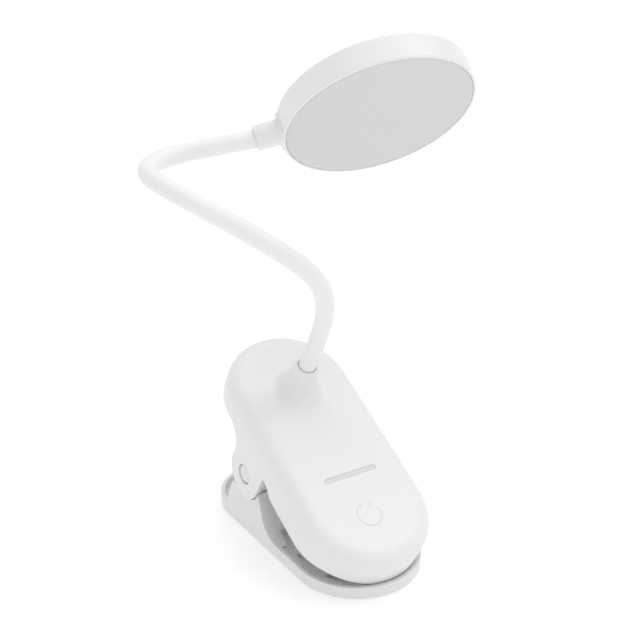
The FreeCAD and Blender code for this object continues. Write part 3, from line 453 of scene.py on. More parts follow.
def diffuserLook():
    # frosted plate with a fine field of moulded lenslets; painted shade darkens the valleys between lenslets
    look = {"cellScale": 780.0, "pale": (0.63, 0.63, 0.63, 1), "deep": (0.585, 0.585, 0.585, 1),
            "grainScale": 2600.0, "rough": 0.36, "roughSpread": 0.05, "bump": 0.22}
    material, tree, shader, place = newMaterial("Micro-prism diffuser")
    grain = grainOf(tree, place, look)
    cells = tree.nodes.new("ShaderNodeTexVoronoi")
    cells.feature = "SMOOTH_F1"
    fill(cells, Scale=look["cellScale"], Randomness=0.25)
    tree.links.new(place, cells.inputs["Vector"])
    # painted shade: the colour darkens towards each lenslet's edge, in the valleys of the bump
    paintedValleyShade = mathNode(tree, "MULTIPLY", cells.outputs["Distance"], 1.6, clamp=True)
    colour = mixColours(tree, paintedValleyShade, look["pale"], look["deep"])
    paint(tree, shader, colour, grain.outputs["Rough"])
    fill(shader, IOR=1.49)
    height = mathNode(tree, "SUBTRACT", 1.0, cells.outputs["Distance"])
    bump(tree, shader, height, look["bump"], bumpDepth["lenslet"])
    return material


def metalLook(name, look):
    # drawn or plated metal: streaks in gloss, tiny scratches and a darker bloom
    material, tree, shader, place = newMaterial(name)
    scratch = noise(tree, place, look["scratchScale"], 8.0, 0.75)
    bloom = noise(tree, place, 160.0, 3.0, 0.5)
    colour = mixColours(tree, bloom, look["deep"], look["pale"])
    streak = mathNode(tree, "MULTIPLY", scratch, look["roughSpread"])
    paint(tree, shader, colour, mathNode(tree, "ADD", look["rough"], streak))
    fill(shader, Metallic=1.0)
    bump(tree, shader, scratch, look["bump"], bumpDepth["scratch"])
    return material


springSteel = metalLook("Spring steel", {
    "pale": (0.62, 0.62, 0.63, 1), "deep": (0.42, 0.42, 0.43, 1),
    "scratchScale": 900.0, "rough": 0.26, "roughSpread": 0.2, "bump": 0.3})
platedSteel = metalLook("Nickel plated steel", {
    "pale": (0.74, 0.73, 0.70, 1), "deep": (0.58, 0.57, 0.55, 1),
    "scratchScale": 1300.0, "rough": 0.2, "roughSpread": 0.18, "bump": 0.2})
zincScrew = metalLook("Zinc screws", {
    "pale": (0.55, 0.56, 0.58, 1), "deep": (0.36, 0.37, 0.39, 1),
    "scratchScale": 1500.0, "rough": 0.3, "roughSpread": 0.25, "bump": 0.35})
copperFoil = metalLook("Copper foil", {
    "pale": (0.85, 0.47, 0.30, 1), "deep": (0.62, 0.30, 0.18, 1),
    "scratchScale": 700.0, "rough": 0.28, "roughSpread": 0.25, "bump": 0.3})


def boardLook(name, look):
    # solder mask with faint copper tracks under it
    material, tree, shader, place = newMaterial(name)
    tracks = fill(tree.nodes.new("ShaderNodeTexBrick"), Scale=look["trackScale"], Mortar_Size=0.03,
                  Color1=look["pale"], Color2=look["deep"], Mortar=look["track"])
    tree.links.new(place, tracks.inputs["Vector"])
    speck = noise(tree, place, 1200.0, 4.0, 0.6)
    rough = mathNode(tree, "ADD", look["rough"], mathNode(tree, "MULTIPLY", speck, 0.2))
    paint(tree, shader, tracks.outputs["Color"], rough)
    bump(tree, shader, tracks.outputs["Fac"], 0.3, bumpDepth["track"])
    return material


circuitBoard = boardLook("Green circuit board", {
    "pale": (0.02, 0.13, 0.05, 1), "deep": (0.015, 0.10, 0.04, 1), "track": (0.05, 0.24, 0.09, 1),
    "trackScale": 260.0, "rough": 0.3})
whiteBoard = boardLook("White LED board", {
    "pale": (0.80, 0.80, 0.78, 1), "deep": (0.76, 0.76, 0.74, 1), "track": (0.88, 0.88, 0.86, 1),
    "trackScale": 180.0, "rough": 0.4})
blackChips = mouldedLook("Black chip resin", {
    "pale": (0.03, 0.03, 0.032, 1), "deep": (0.018, 0.018, 0.02, 1), "dustColour": (0.2, 0.2, 0.2, 1),
    "dust": 0.1, "grainScale": 2600.0, "rough": 0.5, "roughSpread": 0.1, "bump": 0.3})
batteryPouch = mouldedLook("Battery pouch", {
    "pale": (0.45, 0.46, 0.48, 1), "deep": (0.33, 0.34, 0.36, 1), "dustColour": (0.5, 0.5, 0.5, 1),
    "dust": 0.05, "grainScale": 500.0, "rough": 0.32, "roughSpread": 0.12, "bump": 0.5})
redLead = mouldedLook("Red lead sleeve", {
    "pale": (0.55, 0.03, 0.025, 1), "deep": (0.42, 0.02, 0.02, 1), "dustColour": (0.5, 0.3, 0.3, 1),
    "dust": 0.05, "grainScale": 1500.0, "rough": 0.4, "roughSpread": 0.08, "bump": 0.2})
reflectorWhite = mouldedLook("White reflector", {
    "pale": (0.86, 0.86, 0.85, 1), "deep": (0.83, 0.83, 0.82, 1), "dustColour": (0.75, 0.75, 0.74, 1),
    "dust": 0.05, "grainScale": 1900.0, "rough": 0.3, "roughSpread": 0.05, "bump": 0.15})
ledPhosphor = mouldedLook("LED phosphor", {
    "pale": (0.85, 0.72, 0.22, 1), "deep": (0.80, 0.62, 0.12, 1), "dustColour": (0.8, 0.7, 0.4, 1),
    "dust": 0.02, "grainScale": 3000.0, "rough": 0.35, "roughSpread": 0.05, "bump": 0.2})
# the light bar's grey tone is painted shade, standing in for the shaded groove of the slot
lightBarGrooveShade = mouldedLook("Light bar with painted groove shade", {
    "pale": (0.695, 0.695, 0.695, 1), "deep": (0.66, 0.66, 0.66, 1), "dustColour": (0.6, 0.6, 0.6, 1),
    "dust": 0.08, "grainScale": 2600.0, "rough": 0.35, "roughSpread": 0.06, "bump": 0.3})
diffuserPlate = diffuserLook()
print("stage: materials made", len(bpy.data.materials))

# the clip's upper half
shell = {"half": 28.0, "length": 119.0, "top": 15.3, "edge": 7.0, "wall": 2.5, "deep": 26.0,
         "roofUnder": 13.3, "roofInset": 5.4, "ledge": 9.0, "plateMargin": 0.8, "sideTop": 7.4,
         "softEdge": 0.5}
pivot = {"along": 70.4, "up": -12.4, "ear": 10.8, "bore": 4.5}
boss = {"along": 87.7, "mouth": 5.1, "height": 30.7, "handle": 6.3, "foot": 12.5, "flat": 13.6,
        "bore": 3.88, "lip": 0.5}
skirt = {"dip": -3.3, "dipFrom": 8.0, "dipFull": 30.0, "riseFrom": 50.0, "riseEnd": 57.0, "flatEnd": 59.0,
         "notchUp": -8.0, "notchRound": 11.0, "tailAlong": 89.0, "tailUp": 1.7, "end": 125.0}
slotCut = {"along": 41.8, "length": 24.8, "width": 2.0, "flare": 0.3, "play": 0.05, "recess": 0.3,
           "foot": 1.5, "footThick": 1.0, "softEdge": 0.12}
powerMark = {"along": 22.6, "side": -2.1, "turn": -31.0, "radius": 5.1, "line": 0.7, "depth": 0.1,
             "gap": 80.0, "bar": 3.0, "play": 0.02, "below": 0.2}
inlet = {"up": 8.0, "width": 9.3, "height": 3.6, "corner": 1.75, "deep": 8.0}


def skirtCut():
    # everything below the upper half's lower edge, seen from the side
    ear, side, dip = pivot["ear"], cutter["side"], skirt["dip"]
    front, rear, bottom = pivot["along"] - ear, pivot["along"] + ear, pivot["up"] - ear
    path = [(-1, -side), (-1, 0)]
    path += easeLine((skirt["dipFrom"], 0), (skirt["dipFull"], dip))
    path += easeLine((skirt["riseFrom"], dip), (skirt["riseEnd"], 0))
    path += [(skirt["flatEnd"], 0), (front, pivot["up"], ear), (pivot["along"], bottom, ear),
             (rear, pivot["up"]), (rear, skirt["notchUp"], -skirt["notchRound"]),
             (skirt["tailAlong"], skirt["tailUp"]), (skirt["end"], skirt["tailUp"]), (skirt["end"], -side)]
    return prism(outline(path, 20), "x", -side, side)


def roundedSlot(length, width):
    reach = (length - width) / 2
    side = width / 2
    path = [(-reach, side, side), (-reach, -side), (reach, -side, side), (reach, side)]
    return outline(path, 12)


def buildHousing():
    edge, top = shell["edge"], shell["top"]
    fillet = [(edge * (1 - math.sin(a)), top - edge * (1 - math.cos(a))) for a in quarterTurn(16)]
    profile = [(edge + shell["plateMargin"], top)] + fillet
    profile += [(0, shell["sideTop"]), (0, -shell["deep"]), (shell["wall"], -shell["deep"]),
                (shell["wall"], shell["ledge"]), (shell["roofInset"], shell["ledge"]),
                (shell["roofInset"], shell["roofUnder"])]
    plan = {"half": shell["half"], "corner": shell["half"], "noseCentre": shell["half"],
            "tailCentre": shell["length"] - shell["half"]}
    bm = wallRound(profile, plan)
    lip = boss["lip"]
    flare = bezierLine((boss["foot"], top), (boss["handle"], top),
                       (boss["mouth"], boss["height"] - lip / 2), 22)
    bossProfile = [(boss["flat"], top)] + flare
    bossProfile += [(boss["mouth"] - lip / 3, boss["height"]), (boss["bore"] + lip / 3, boss["height"]),
                    (boss["bore"], boss["height"] - lip), (boss["bore"], shell["roofUnder"])]
    absorb(bm, turned(bossProfile, (0, boss["along"]), 72))
    for height in (top, shell["roofUnder"]):
        bmesh.ops.triangle_fill(bm, edges=openEdges(bm, height), use_beauty=True)
    housing = objectFrom(outward(bm), "housing_shell")
    carve(housing, skirtCut())
    ends = (-cutter["side"], cutter["side"])
    pinHole = turned([(pivot["bore"], height) for height in ends], (0, 0), 48)
    for height in ends:
        bmesh.ops.edgeloop_fill(pinHole, edges=openEdges(pinHole, height))
    pinHole.transform(Matrix.Translation((0, pivot["along"], pivot["up"])) @ sideways)
    carve(housing, outward(pinHole))
    w, h, r = inlet["width"] / 2, inlet["height"] / 2, inlet["corner"]
    mouth = outline([(-w + r, h, r), (-w, h - r), (-w, -h + r, r), (-w + r, -h), (w - r, -h, r),
                     (w, -h + r), (w, h - r, r), (w - r, h)], 6)
    opening = prism(mouth, "z", 0, inlet["deep"] * 1.5)
    place = Matrix.Translation((0, shell["length"] - inlet["deep"], inlet["up"]))
    opening.transform(place @ Matrix.Rotation(-math.pi / 2, 4, "X"))
    carve(housing, opening)
    soften(housing, shell["softEdge"])
    slotOutline, flare = roundedSlot(slotCut["length"], slotCut["width"]), slotCut["flare"]
    groove = prism(slotOutline, "z", 10, 20)
    groove.transform(Matrix.Translation((0, slotCut["along"], 0)))
    carve(housing, groove)
    mouth = prism(slotOutline, "z", -flare, flare)
    for vertex in mouth.verts:
        if vertex.co.z > 0:
            vertex.co.x += math.copysign(flare * 2, vertex.co.x)
            vertex.co.y += math.copysign(flare * 2, vertex.co.y)
    mouth.transform(Matrix.Translation((0, slotCut["along"], top)))
    carve(housing, mouth)
    return housing


def markShape(low, high, slack=0.0):
    # an open ring with a short bar in its gap
    inner = powerMark["radius"] - powerMark["line"] / 2 + slack
    outer = powerMark["radius"] + powerMark["line"] / 2 - slack
    gap = math.radians(powerMark["gap"])
    ring = turned([(inner, low), (outer, low), (outer, high), (inner, high)], (0, 0), 60,
                  math.tau - gap, math.pi / 2 + gap / 2, closed=True)
    bar = prism(roundedSlot(powerMark["bar"], powerMark["line"] - slack * 2), "z", low, high)
    bar.transform(Matrix.Translation((0, powerMark["radius"] - powerMark["bar"] / 4, 0))
                  @ Matrix.Rotation(math.pi / 2, 4, "Z"))
    absorb(ring, bar)
    ring.transform(Matrix.Translation((powerMark["side"], powerMark["along"], 0))
                   @ Matrix.Rotation(math.radians(powerMark["turn"]), 4, "Z"))
    return outward(ring)


housing = buildHousing()
markFloor = shell["top"] - powerMark["depth"]
carve(housing, markShape(markFloor, shell["top"] + 2))
settle(housing, upperFrame, "upper_half", whitePlastic, ["top_housing"])
mark = objectFrom(markShape(markFloor - powerMark["below"], shell["top"] - powerMark["depth"] * 0.6,
                            powerMark["play"]), "power_mark")
settle(mark, upperFrame, "upper_half", markPaint)


def buildLightBar():
    # a blade in the slot on a wider foot under the roof
    low, play, foot = shell["roofUnder"] - slotCut["footThick"], slotCut["play"] * 2, slotCut["foot"]
    blade = prism(roundedSlot(slotCut["length"] - play, slotCut["width"] - play), "z", low,
                  shell["top"] - slotCut["recess"])
    bar = objectFrom(blade, "light_bar")
    half, side = slotCut["length"] / 2 + foot, slotCut["width"] / 2 + foot
    carve(bar, boxShape((-half, -side, low), (half, side, shell["roofUnder"])), "UNION")
    soften(bar, slotCut["softEdge"])
    bar.data.transform(Matrix.Translation((0, slotCut["along"], 0)))
    return bar


settle(buildLightBar(), upperFrame, "upper_half", lightBarGrooveShade, ["indicator_light_bar"])
print("stage: upper housing", len(housing.data.polygons))

# the clip's lower jaw
jaw = {"half": 27.0, "noseY": -58.0, "tailY": 53.4, "corner": 24.0, "wall": 1.7, "floor": 2.0, "deep": 44.0,
       "rimNose": 5.2, "rimSide": 6.0, "rimTail": 6.1, "softEdge": 0.4, "bottomEdge": 0.9,
       "blockInner": 20.0, "blockOuter": 25.2, "blockFront": -3.0, "blockRear": 27.0,
       "gussetInner": 22.4, "gussetFront": -14.0,
       "lug": 10.0, "recess": 11.3, "ribThick": 1.4, "ribTop": 4.4, "ribs": (-38.0, -19.0, 0.0),
       "tailRibInset": 7.0, "tailRibTop": 6.3, "tailRibNose": 4.0, "tailRibStart": 30.0,
       "sunk": 1.0, "easeEnd": -17.0}
hump = {"frontY": -12.0, "kneeY": -1.4, "kneeZ": 13.0, "round": 13.0, "topY": 2.0, "topZ": 23.3,
        "rearY": 24.5, "rearZ": 19.0, "footY": 28.5, "footZ": 9.5, "footRound": 6.0,
        "endY": 35.0}
pivotPlace = upperFrame @ Vector((0, pivot["along"], pivot["up"]))
pivotPoint = (pivotPlace.y, pivotPlace.z)


def circleMeets(start, end, centre, radius, last=False):
    # where the run from start to end crosses a circle
    start, end, centre = Vector(start), Vector(end), Vector(centre)
    run = end - start
    near = start - centre
    half = run.dot(near) / run.length_squared
    root = math.sqrt(half ** 2 - (near.length_squared - radius ** 2) / run.length_squared)
    point = start + run * (-half + (root if last else -root))
    return point.x, point.y


def jawCut():
    # everything above the jaw's rim, hump and lugs, seen from the side
    top, rear = (hump["topY"], hump["topZ"]), (hump["rearY"], hump["rearZ"])
    first = circleMeets(top, rear, pivotPoint, jaw["lug"])
    last = circleMeets(top, rear, pivotPoint, jaw["lug"], last=True)
    crown = (pivotPoint[0], pivotPoint[1] + jaw["lug"])
    front, end, above, side = jaw["noseY"] - 4, jaw["tailY"] + 4, cutter["top"], cutter["side"]
    path = [(front, jaw["rimNose"]), (jaw["noseY"], jaw["rimNose"])]
    path += easeLine((jaw["noseY"] + 2, jaw["rimNose"]), (jaw["easeEnd"], jaw["rimSide"]))
    path += [(hump["frontY"], jaw["rimSide"], hump["round"]), (hump["kneeY"], hump["kneeZ"]), top,
             first + (-jaw["lug"],), crown + (-jaw["lug"],), last, rear,
             (hump["footY"], hump["footZ"], hump["footRound"]), (hump["endY"], jaw["rimTail"]),
             (end, jaw["rimTail"]), (end, above), (front, above)]
    return prism(outline(path, 16), "x", -side, side)


def buildJaw():
    edge = jaw["bottomEdge"]
    corner = [(edge * (1 - math.sin(a)), edge * (1 - math.cos(a))) for a in quarterTurn(6)]
    wall, floor, deep, sunk = jaw["wall"], jaw["floor"], jaw["deep"], jaw["sunk"]
    inside = [(wall, floor + 0.8), (wall + 0.25, floor + 0.25), (wall + 0.8, floor), (wall + 1.6, floor)]
    profile = [(edge + 0.6, 0)] + corner + [(0, deep), (wall, deep)] + inside
    plan = {"half": jaw["half"], "corner": jaw["corner"], "noseCentre": jaw["noseY"] + jaw["half"],
            "tailCentre": jaw["tailY"] - jaw["corner"]}
    bm = wallRound(profile, plan)
    for height in (0, floor):
        bmesh.ops.triangle_fill(bm, edges=openEdges(bm, height), use_beauty=True)
    tray = objectFrom(outward(bm), "jaw_tray")
    half = jaw["half"] - wall / 2
    for side in (-1, 1):
        outer, inner = side * half, side * (jaw["blockInner"] + 0.01)
        low, high = sorted((side * jaw["blockInner"], outer))
        block = boxShape((low, jaw["blockFront"], sunk), (high, jaw["blockRear"], deep - 1))
        carve(tray, block, "UNION")
        taper = [(outer, jaw["gussetFront"]), (side * jaw["gussetInner"], jaw["gussetFront"]),
                 (inner, jaw["blockFront"]), (inner, 0.0), (outer, 0.0)]
        carve(tray, prism(outline(taper, 1), "z", sunk + 0.01, deep - 1.5), "UNION")
    carve(tray, jawCut())
    reach, bore, (y, z) = jaw["recess"], pivot["bore"], pivotPoint
    scoop = [(y - reach, cutter["top"]), (y - reach, z, reach), (y, z - reach, reach), (y + reach, z),
             (y + reach, cutter["top"])]
    for side in (-1, 1):
        low, high = sorted((side * jaw["blockOuter"], side * cutter["side"]))
        carve(tray, prism(outline(scoop, 20), "x", low, high))
    bored = outline([(y - bore, z, bore), (y + bore, z, bore)], 24)
    carve(tray, prism(bored, "x", -cutter["side"], cutter["side"]))
    thick, top, nose = jaw["ribThick"] / 2, jaw["ribTop"], plan["noseCentre"]
    for y in jaw["ribs"]:
        span = half if y > nose else math.sqrt(half ** 2 - (y - nose) ** 2)
        carve(tray, boxShape((-span, y - thick, sunk), (span, y + thick, top)), "UNION")
    spine = boxShape((-thick, jaw["noseY"] + 1, sunk), (thick, jaw["tailY"] - 1, top - 0.01))
    carve(tray, spine, "UNION")
    inset, top, thick = jaw["tailRibInset"], jaw["tailRibTop"], jaw["ribThick"]
    ribPlan = {"half": jaw["half"] - inset, "corner": jaw["corner"] - inset,
               "noseCentre": jaw["tailRibNose"], "tailCentre": plan["tailCentre"]}
    curved = wallRound([(0, sunk), (0, top), (thick, top), (thick, sunk), (0, sunk)], ribPlan)
    outward(curved)
    geometry = curved.verts[:] + curved.edges[:] + curved.faces[:]
    cut = bmesh.ops.bisect_plane(curved, geom=geometry, plane_co=(0, jaw["tailRibStart"], 0),
                                 plane_no=(0, 1, 0), clear_inner=True)
    bmesh.ops.holes_fill(curved, edges=edgesOf(cut["geom_cut"]))
    carve(tray, outward(curved), "UNION")
    soften(tray, jaw["softEdge"])
    return tray


tray = settle(buildJaw(), lampFrame, "lower_half", jawPlastic, ["lower_jaw"])
print("stage: lower jaw", len(tray.data.polygons))

# soft pads inside the jaws
grip = {"half": 24.9, "width": 2.5, "noseY": -56.3, "endY": -14.1, "low": 2.0, "high": 5.6, "noseHigh": 4.3,
        "slopeY": -40.0, "groove": 0.5}


def buildGrip():
    # a U-shaped strip with a groove along its crown
    w, low, high, g = grip["width"], grip["low"], grip["high"], grip["groove"]
    section = [(0, low), (0, high - 0.5), (0.15, high - 0.15), (0.45, high), (0.85, high), (1.05, high - g),
               (1.35, high - g), (1.55, high - 0.1), (w - 0.45, high - 0.1), (w - 0.15, high - 0.25),
               (w, high - 0.6), (w, low)]
    bm = bmesh.new()
    centre = grip["noseY"] + grip["half"]
    chain = [bm.verts.new((grip["half"] - inset, centre, up)) for inset, up in section]
    ring = chain + [bm.edges.new(pair) for pair in zip(chain, chain[1:] + chain[:1])]
    first = list(ring)
    ring = turnRing(bm, ring, (0, centre, 0), -math.pi, 72)
    ring = slideRing(bm, ring, (0, grip["endY"] - centre, 0), 8)
    slideRing(bm, first, (0, grip["endY"] - centre, 0), 8)
    bmesh.ops.remove_doubles(bm, verts=bm.verts, dist=1e-3)
    bmesh.ops.holes_fill(bm, edges=[edge for edge in bm.edges if edge.is_boundary])
    for vertex in bm.verts:
        if vertex.co.y < grip["slopeY"]:
            share = (grip["slopeY"] - vertex.co.y) / (grip["slopeY"] - grip["noseY"])
            drop = (high - grip["noseHigh"]) * share * (vertex.co.z - low) / (high - low)
            vertex.co.z -= drop
    return objectFrom(outward(bm), "jaw_grip_strip")


settle(buildGrip(), lampFrame, "lower_half", softPad, ["lower_jaw_pad"])
print("stage: grip strip made")

# the hinge pin
pin = {"radius": 4.45, "half": 27.9, "crown": 1.5, "neck": 0.35}


def buildPin():
    # crowned ends on a slightly slimmer neck
    r, h, slim = pin["radius"], pin["half"], pin["radius"] - pin["neck"]
    end = [(0.0, h), (slim - pin["crown"], h - 0.02), (slim - pin["crown"] * 0.5, h - 0.15),
           (slim - 0.15, h - 0.5), (slim, h - 0.8), (slim, h - 2.4), (r, h - 2.7), (r, h - 3.5)]
    profile = end + [(radius, -height) for radius, height in reversed(end)]
    bm = turned(profile)
    bm.transform(Matrix.Translation((0, *pivotPoint)) @ sideways)
    return objectFrom(outward(bm), "turned_pin")


settle(buildPin(), lampFrame, "lower_half", jawPlastic, ["hinge_pin"])
print("stage: hinge pin made")

# the neck's route above its boss, and the head at its end, as distances from the boss's mouth
neck = {"radius": 3.75, "foot": 19.0, "inBoss": 1.6, "firstRun": 17.6, "straightEnd": 10.0, "sides": 28,
        "spread": 0.8, "longestBlend": 9.0}
neckRoute = [(-4.1, -21.1, 32.7), (-13.0, -29.3, 50.4), (-36.8, -19.5, 68.8), (-57.7, -6.8, 82.7),
             (-61.9, 18.5, 86.8), (-43.0, 33.8, 87.3), (-14.5, 22.7, 91.6), (-1.7, 17.1, 94.8)]
headLook = {"back": (0.124, 0.697, 0.706), "radius": 39.7, "thick": 11.3, "wall": 1.5, "edge": 1.5,
            "lip": 1.05, "lensRadius": 38.58, "lensLow": 0.14, "lensHigh": 2.2, "socket": 5.1,
            "socketLength": 10.0, "flangeHalf": 7.5, "flangeProud": 0.3, "flangeMargin": 0.7,
            "flangeCorner": 1.2, "flangeEdge": 0.3}
bossMouth = upperFrame @ Vector((0, boss["along"], boss["height"]))
bossAxis = (upperFrame.to_3x3() @ Vector((0, 0, 1))).normalized()
corners = [bossMouth + bossAxis * neck["firstRun"]] + [bossMouth + Vector(point) for point in neckRoute]
inward = (corners[-1] - corners[-2]).normalized()
headBack = Vector(headLook["back"])
headBack = (headBack - inward * headBack.dot(inward)).normalized()
discCentre = corners[-1] + inward * headLook["radius"] - headBack * (headLook["thick"] / 2)
headTurn = Matrix((-inward, headBack.cross(-inward), headBack)).transposed().to_4x4()
headPlace = Matrix.Translation(discCentre) @ headTurn


def neckLine():
    # the smooth line that the bends make, as evenly spaced points
    line = bpy.data.curves.new("neck_line", "CURVE")
    line.dimensions = "3D"
    line.resolution_u = 40
    spline = line.splines.new("NURBS")
    route = [bossMouth - bossAxis * neck["foot"], bossMouth] + corners[:-1]
    route += [corners[-1] - inward * neck["straightEnd"], corners[-1]]
    spline.points.add(len(route) - 1)
    for point, place in zip(spline.points, route):
        point.co = (*place, 1)
    spline.order_u = 3
    spline.use_endpoint_u = True
    holder = linked("neck_line", line)
    mesh = finished(holder)
    points = [vertex.co.copy() for vertex in mesh.vertices]
    bpy.data.objects.remove(holder)
    bpy.data.meshes.remove(mesh)
    return points


def alongLine(points, spacing):
    # steps off equal distances along a line of points
    marks = [points[0]]
    carried = 0.0
    for start, end in zip(points, points[1:]):
        length = (end - start).length
        while carried + length >= spacing * len(marks):
            marks.append(start.lerp(end, (spacing * len(marks) - carried) / length))
        carried += length
    if (marks[-1] - points[-1]).length > spacing / 4:
        marks.append(points[-1])
    return marks


def frames(points):
    # a frame at each point that never twists about the line
    result = []
    side = Vector((1, 0, 0))
    for index, point in enumerate(points):
        before, after = points[max(index - 1, 0)], points[min(index + 1, len(points) - 1)]
        ahead = (after - before).normalized()
        side = (side - ahead * side.dot(ahead)).normalized()
        turn = Matrix((side, ahead.cross(side), ahead)).transposed().to_4x4()
        result.append(Matrix.Translation(point) @ turn)
    return result


def sweepRound(places, radius, sides):
    # carries a round section through a row of frames
    bm = bmesh.new()
    ring = bmesh.ops.create_circle(bm, cap_ends=False, radius=radius, segments=sides)["verts"]
    bmesh.ops.transform(bm, matrix=places[0], verts=ring)
    edges = bm.edges[:]
    for before, after in zip(places, places[1:]):
        grown = bmesh.ops.extrude_edge_only(bm, edges=edges)["geom"]
        edges = edgesOf(grown)
        bmesh.ops.transform(bm, matrix=after @ before.inverted(), verts=vertsOf(grown))
    return bm


def nearestMark(marks, place):
    return min(range(len(marks)), key=lambda index: (marks[index] - place).length)


def buildNeck():
    marks = alongLine(neckLine(), 1.0)
    places = frames(marks)
    hinges = [(corners[index] + corners[index + 1]) / 2 for index in range(len(corners) - 2)]
    first = nearestMark(marks, bossMouth - bossAxis * neck["inBoss"])
    seams = [first] + [nearestMark(marks, corner) for corner in corners[1:-2]] + [len(marks) - 1]
    for index, hinge in enumerate(hinges):
        low, high = seams[index], seams[index + 1]
        bm = sweepRound(places[low:high + 1], neck["radius"], neck["sides"])
        if index == len(hinges) - 1:
            rim = [edge for edge in bm.edges if edge.is_boundary
                   and all((vertex.co - marks[high]).length < neck["radius"] * 1.1 for vertex in edge.verts)]
            bmesh.ops.edgeloop_fill(bm, edges=rim)
        skin = objectFrom(bm, "neck_skin_%d" % (index + 1))
        dress = [skin.name.replace("skin", "sleeve")]
        if index == len(hinges) - 1:
            dress.append("neck_sleeve_%d" % (len(hinges) + 1))
        finishBent(skin, neckSilicone)
        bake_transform(skin)
        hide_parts(*dress)


def finishBent(piece, material):
    # a piece that runs across a joint is tied to no single body; it is only scaled to metres and shaded
    piece.data.transform(millimetre)
    shade(piece, material, 40)


buildNeck()
print("stage: neck made")

# the coil round the hinge pin: its lower leg runs to the jaw's floor and its upper leg to the underside of
# the upper half
coil = {"wire": 0.8, "play": 0.3, "turns": 6.0, "pitch": 1.8, "sides": 12, "steps": 26,
        "floorEnd": (41.0, 2.9), "lidAlong": 98.0, "lidUp": 1.1}


def tangentLeg(end, radius, side):
    # heading and length of a straight leg that leaves the coil for a point
    reach = Vector(end) - Vector(pivotPoint)
    heading = math.atan2(reach.y, reach.x) - side * math.asin(radius / reach.length)
    return heading, math.sqrt(reach.length ** 2 - radius ** 2)


def buildSpring():
    radius = pin["radius"] + coil["play"] + coil["wire"]
    lid = upperFrame @ Vector((0, coil["lidAlong"], coil["lidUp"]))
    lowHeading, lowLength = tangentLeg(coil["floorEnd"], radius, 1)
    highHeading, highLength = tangentLeg((lid.y, lid.z), radius, -1)
    start = lowHeading + math.pi / 2
    sweep = math.tau * coil["turns"] + highHeading - math.pi / 2 - start
    half = sweep / math.tau * coil["pitch"] / 2
    steps = round(coil["steps"] * sweep / math.tau)
    line = []
    for step in range(steps + 1):
        angle = start + sweep * step / steps
        line.append(Vector((-half + 2 * half * step / steps, pivotPoint[0] + radius * math.cos(angle),
                            pivotPoint[1] + radius * math.sin(angle))))
    line.insert(0, line[0] + Vector((0, math.cos(lowHeading), math.sin(lowHeading))) * lowLength)
    line.append(line[-1] + Vector((0, math.cos(highHeading), math.sin(highHeading))) * highLength)
    bm = sweepRound(frames(line), coil["wire"], coil["sides"])
    bmesh.ops.holes_fill(bm, edges=[edge for edge in bm.edges if edge.is_boundary])
    wire = objectFrom(outward(bm), "coil_spring")
    finishBent(wire, springSteel)
    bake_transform(wire)
    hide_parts("torsion_spring")


buildSpring()
print("stage: spring made")


def buildHeadCover():
    # an open pan: outside with a soft back edge, a turned-in rim, and a wall inside
    r, t, w, e = headLook["radius"], headLook["thick"], headLook["wall"], headLook["edge"]
    back = [(r - e + e * math.sin(a), t - e + e * math.cos(a)) for a in quarterTurn(10)]
    outside = [(0.0, t), (r * 0.5, t), (r - e - 1.2, t)] + back
    outside += [(r, t - e - 0.8), (r, 1.0), (r, 0.25), (r - 0.08, 0.08), (r - 0.25, 0.0)]
    lip, seat = headLook["lip"], headLook["lensHigh"] + 0.1
    inside = [(r - lip + 0.22, 0.0), (r - lip + 0.06, 0.06), (r - lip, 0.22), (r - lip, seat), (r - w, seat),
              (r - w, t - w - 0.8), (r - w - 0.8, t - w), (0.0, t - w)]
    return objectFrom(turned(outside + inside, steps=144), "head_pan")


settle(buildHeadCover(), headPlace, "head", whitePlastic, ["head_cover"])


def buildLens():
    # a flat plate with a soft edge, set just inside the pan's lip
    r, low, high = headLook["lensRadius"], headLook["lensLow"], headLook["lensHigh"]
    profile = [(0.0, low), (r * 0.5, low), (r - 2.6, low), (r - 0.4, low), (r - 0.1, low + 0.1),
               (r, low + 0.35), (r, high - 0.3), (r - 0.3, high), (0.0, high)]
    return objectFrom(turned(profile, steps=144), "lens_plate")


settle(buildLens(), headPlace, "head", diffuserPlate, ["diffuser_lens"], 30)


def buildSocket():
    # sleeve with rolled ends, standing on a flat flange that lies against the rim
    r, length, inner = headLook["socket"], headLook["socketLength"], neck["radius"] + 0.05
    thick, wall, margin = headLook["thick"], headLook["wall"], headLook["flangeMargin"]
    profile = [(inner, -1.0), (inner, length - 0.5), (inner + 0.12, length - 0.2), (r - 0.35, length),
               (r - 0.1, length - 0.1), (r, length - 0.35), (r, 1.6), (r + 0.12, 1.0), (r + 0.4, 0.6),
               (r + 0.8, headLook["flangeProud"] - 0.02), (r + 0.8, -1.0)]
    bm = turned(profile, steps=56, closed=True)
    bm.transform(Matrix.Translation((headLook["radius"], 0, thick / 2)) @ sideways)
    sleeve = objectFrom(outward(bm), "neck_socket")
    half = headLook["flangeHalf"]
    plate = boxShape((headLook["radius"] - wall, -half, margin),
                     (headLook["radius"] + headLook["flangeProud"], half, thick - margin))
    across = [edge for edge in plate.edges if abs(edge.verts[0].co.x - edge.verts[1].co.x) > 0.5]
    bmesh.ops.bevel(plate, geom=across, offset=headLook["flangeCorner"], affect="EDGES", segments=5,
                    profile=0.5, material=-1)
    crown = [edge for edge in plate.edges if min(vertex.co.x for vertex in edge.verts) > headLook["radius"]]
    bmesh.ops.bevel(plate, geom=crown, offset=headLook["flangeEdge"], affect="EDGES", segments=3,
                    profile=0.5, material=-1)
    carve(sleeve, plate, "UNION")
    return sleeve


settle(buildSocket(), headPlace, "head", whitePlastic, ["head_socket"])
print("stage: head made")

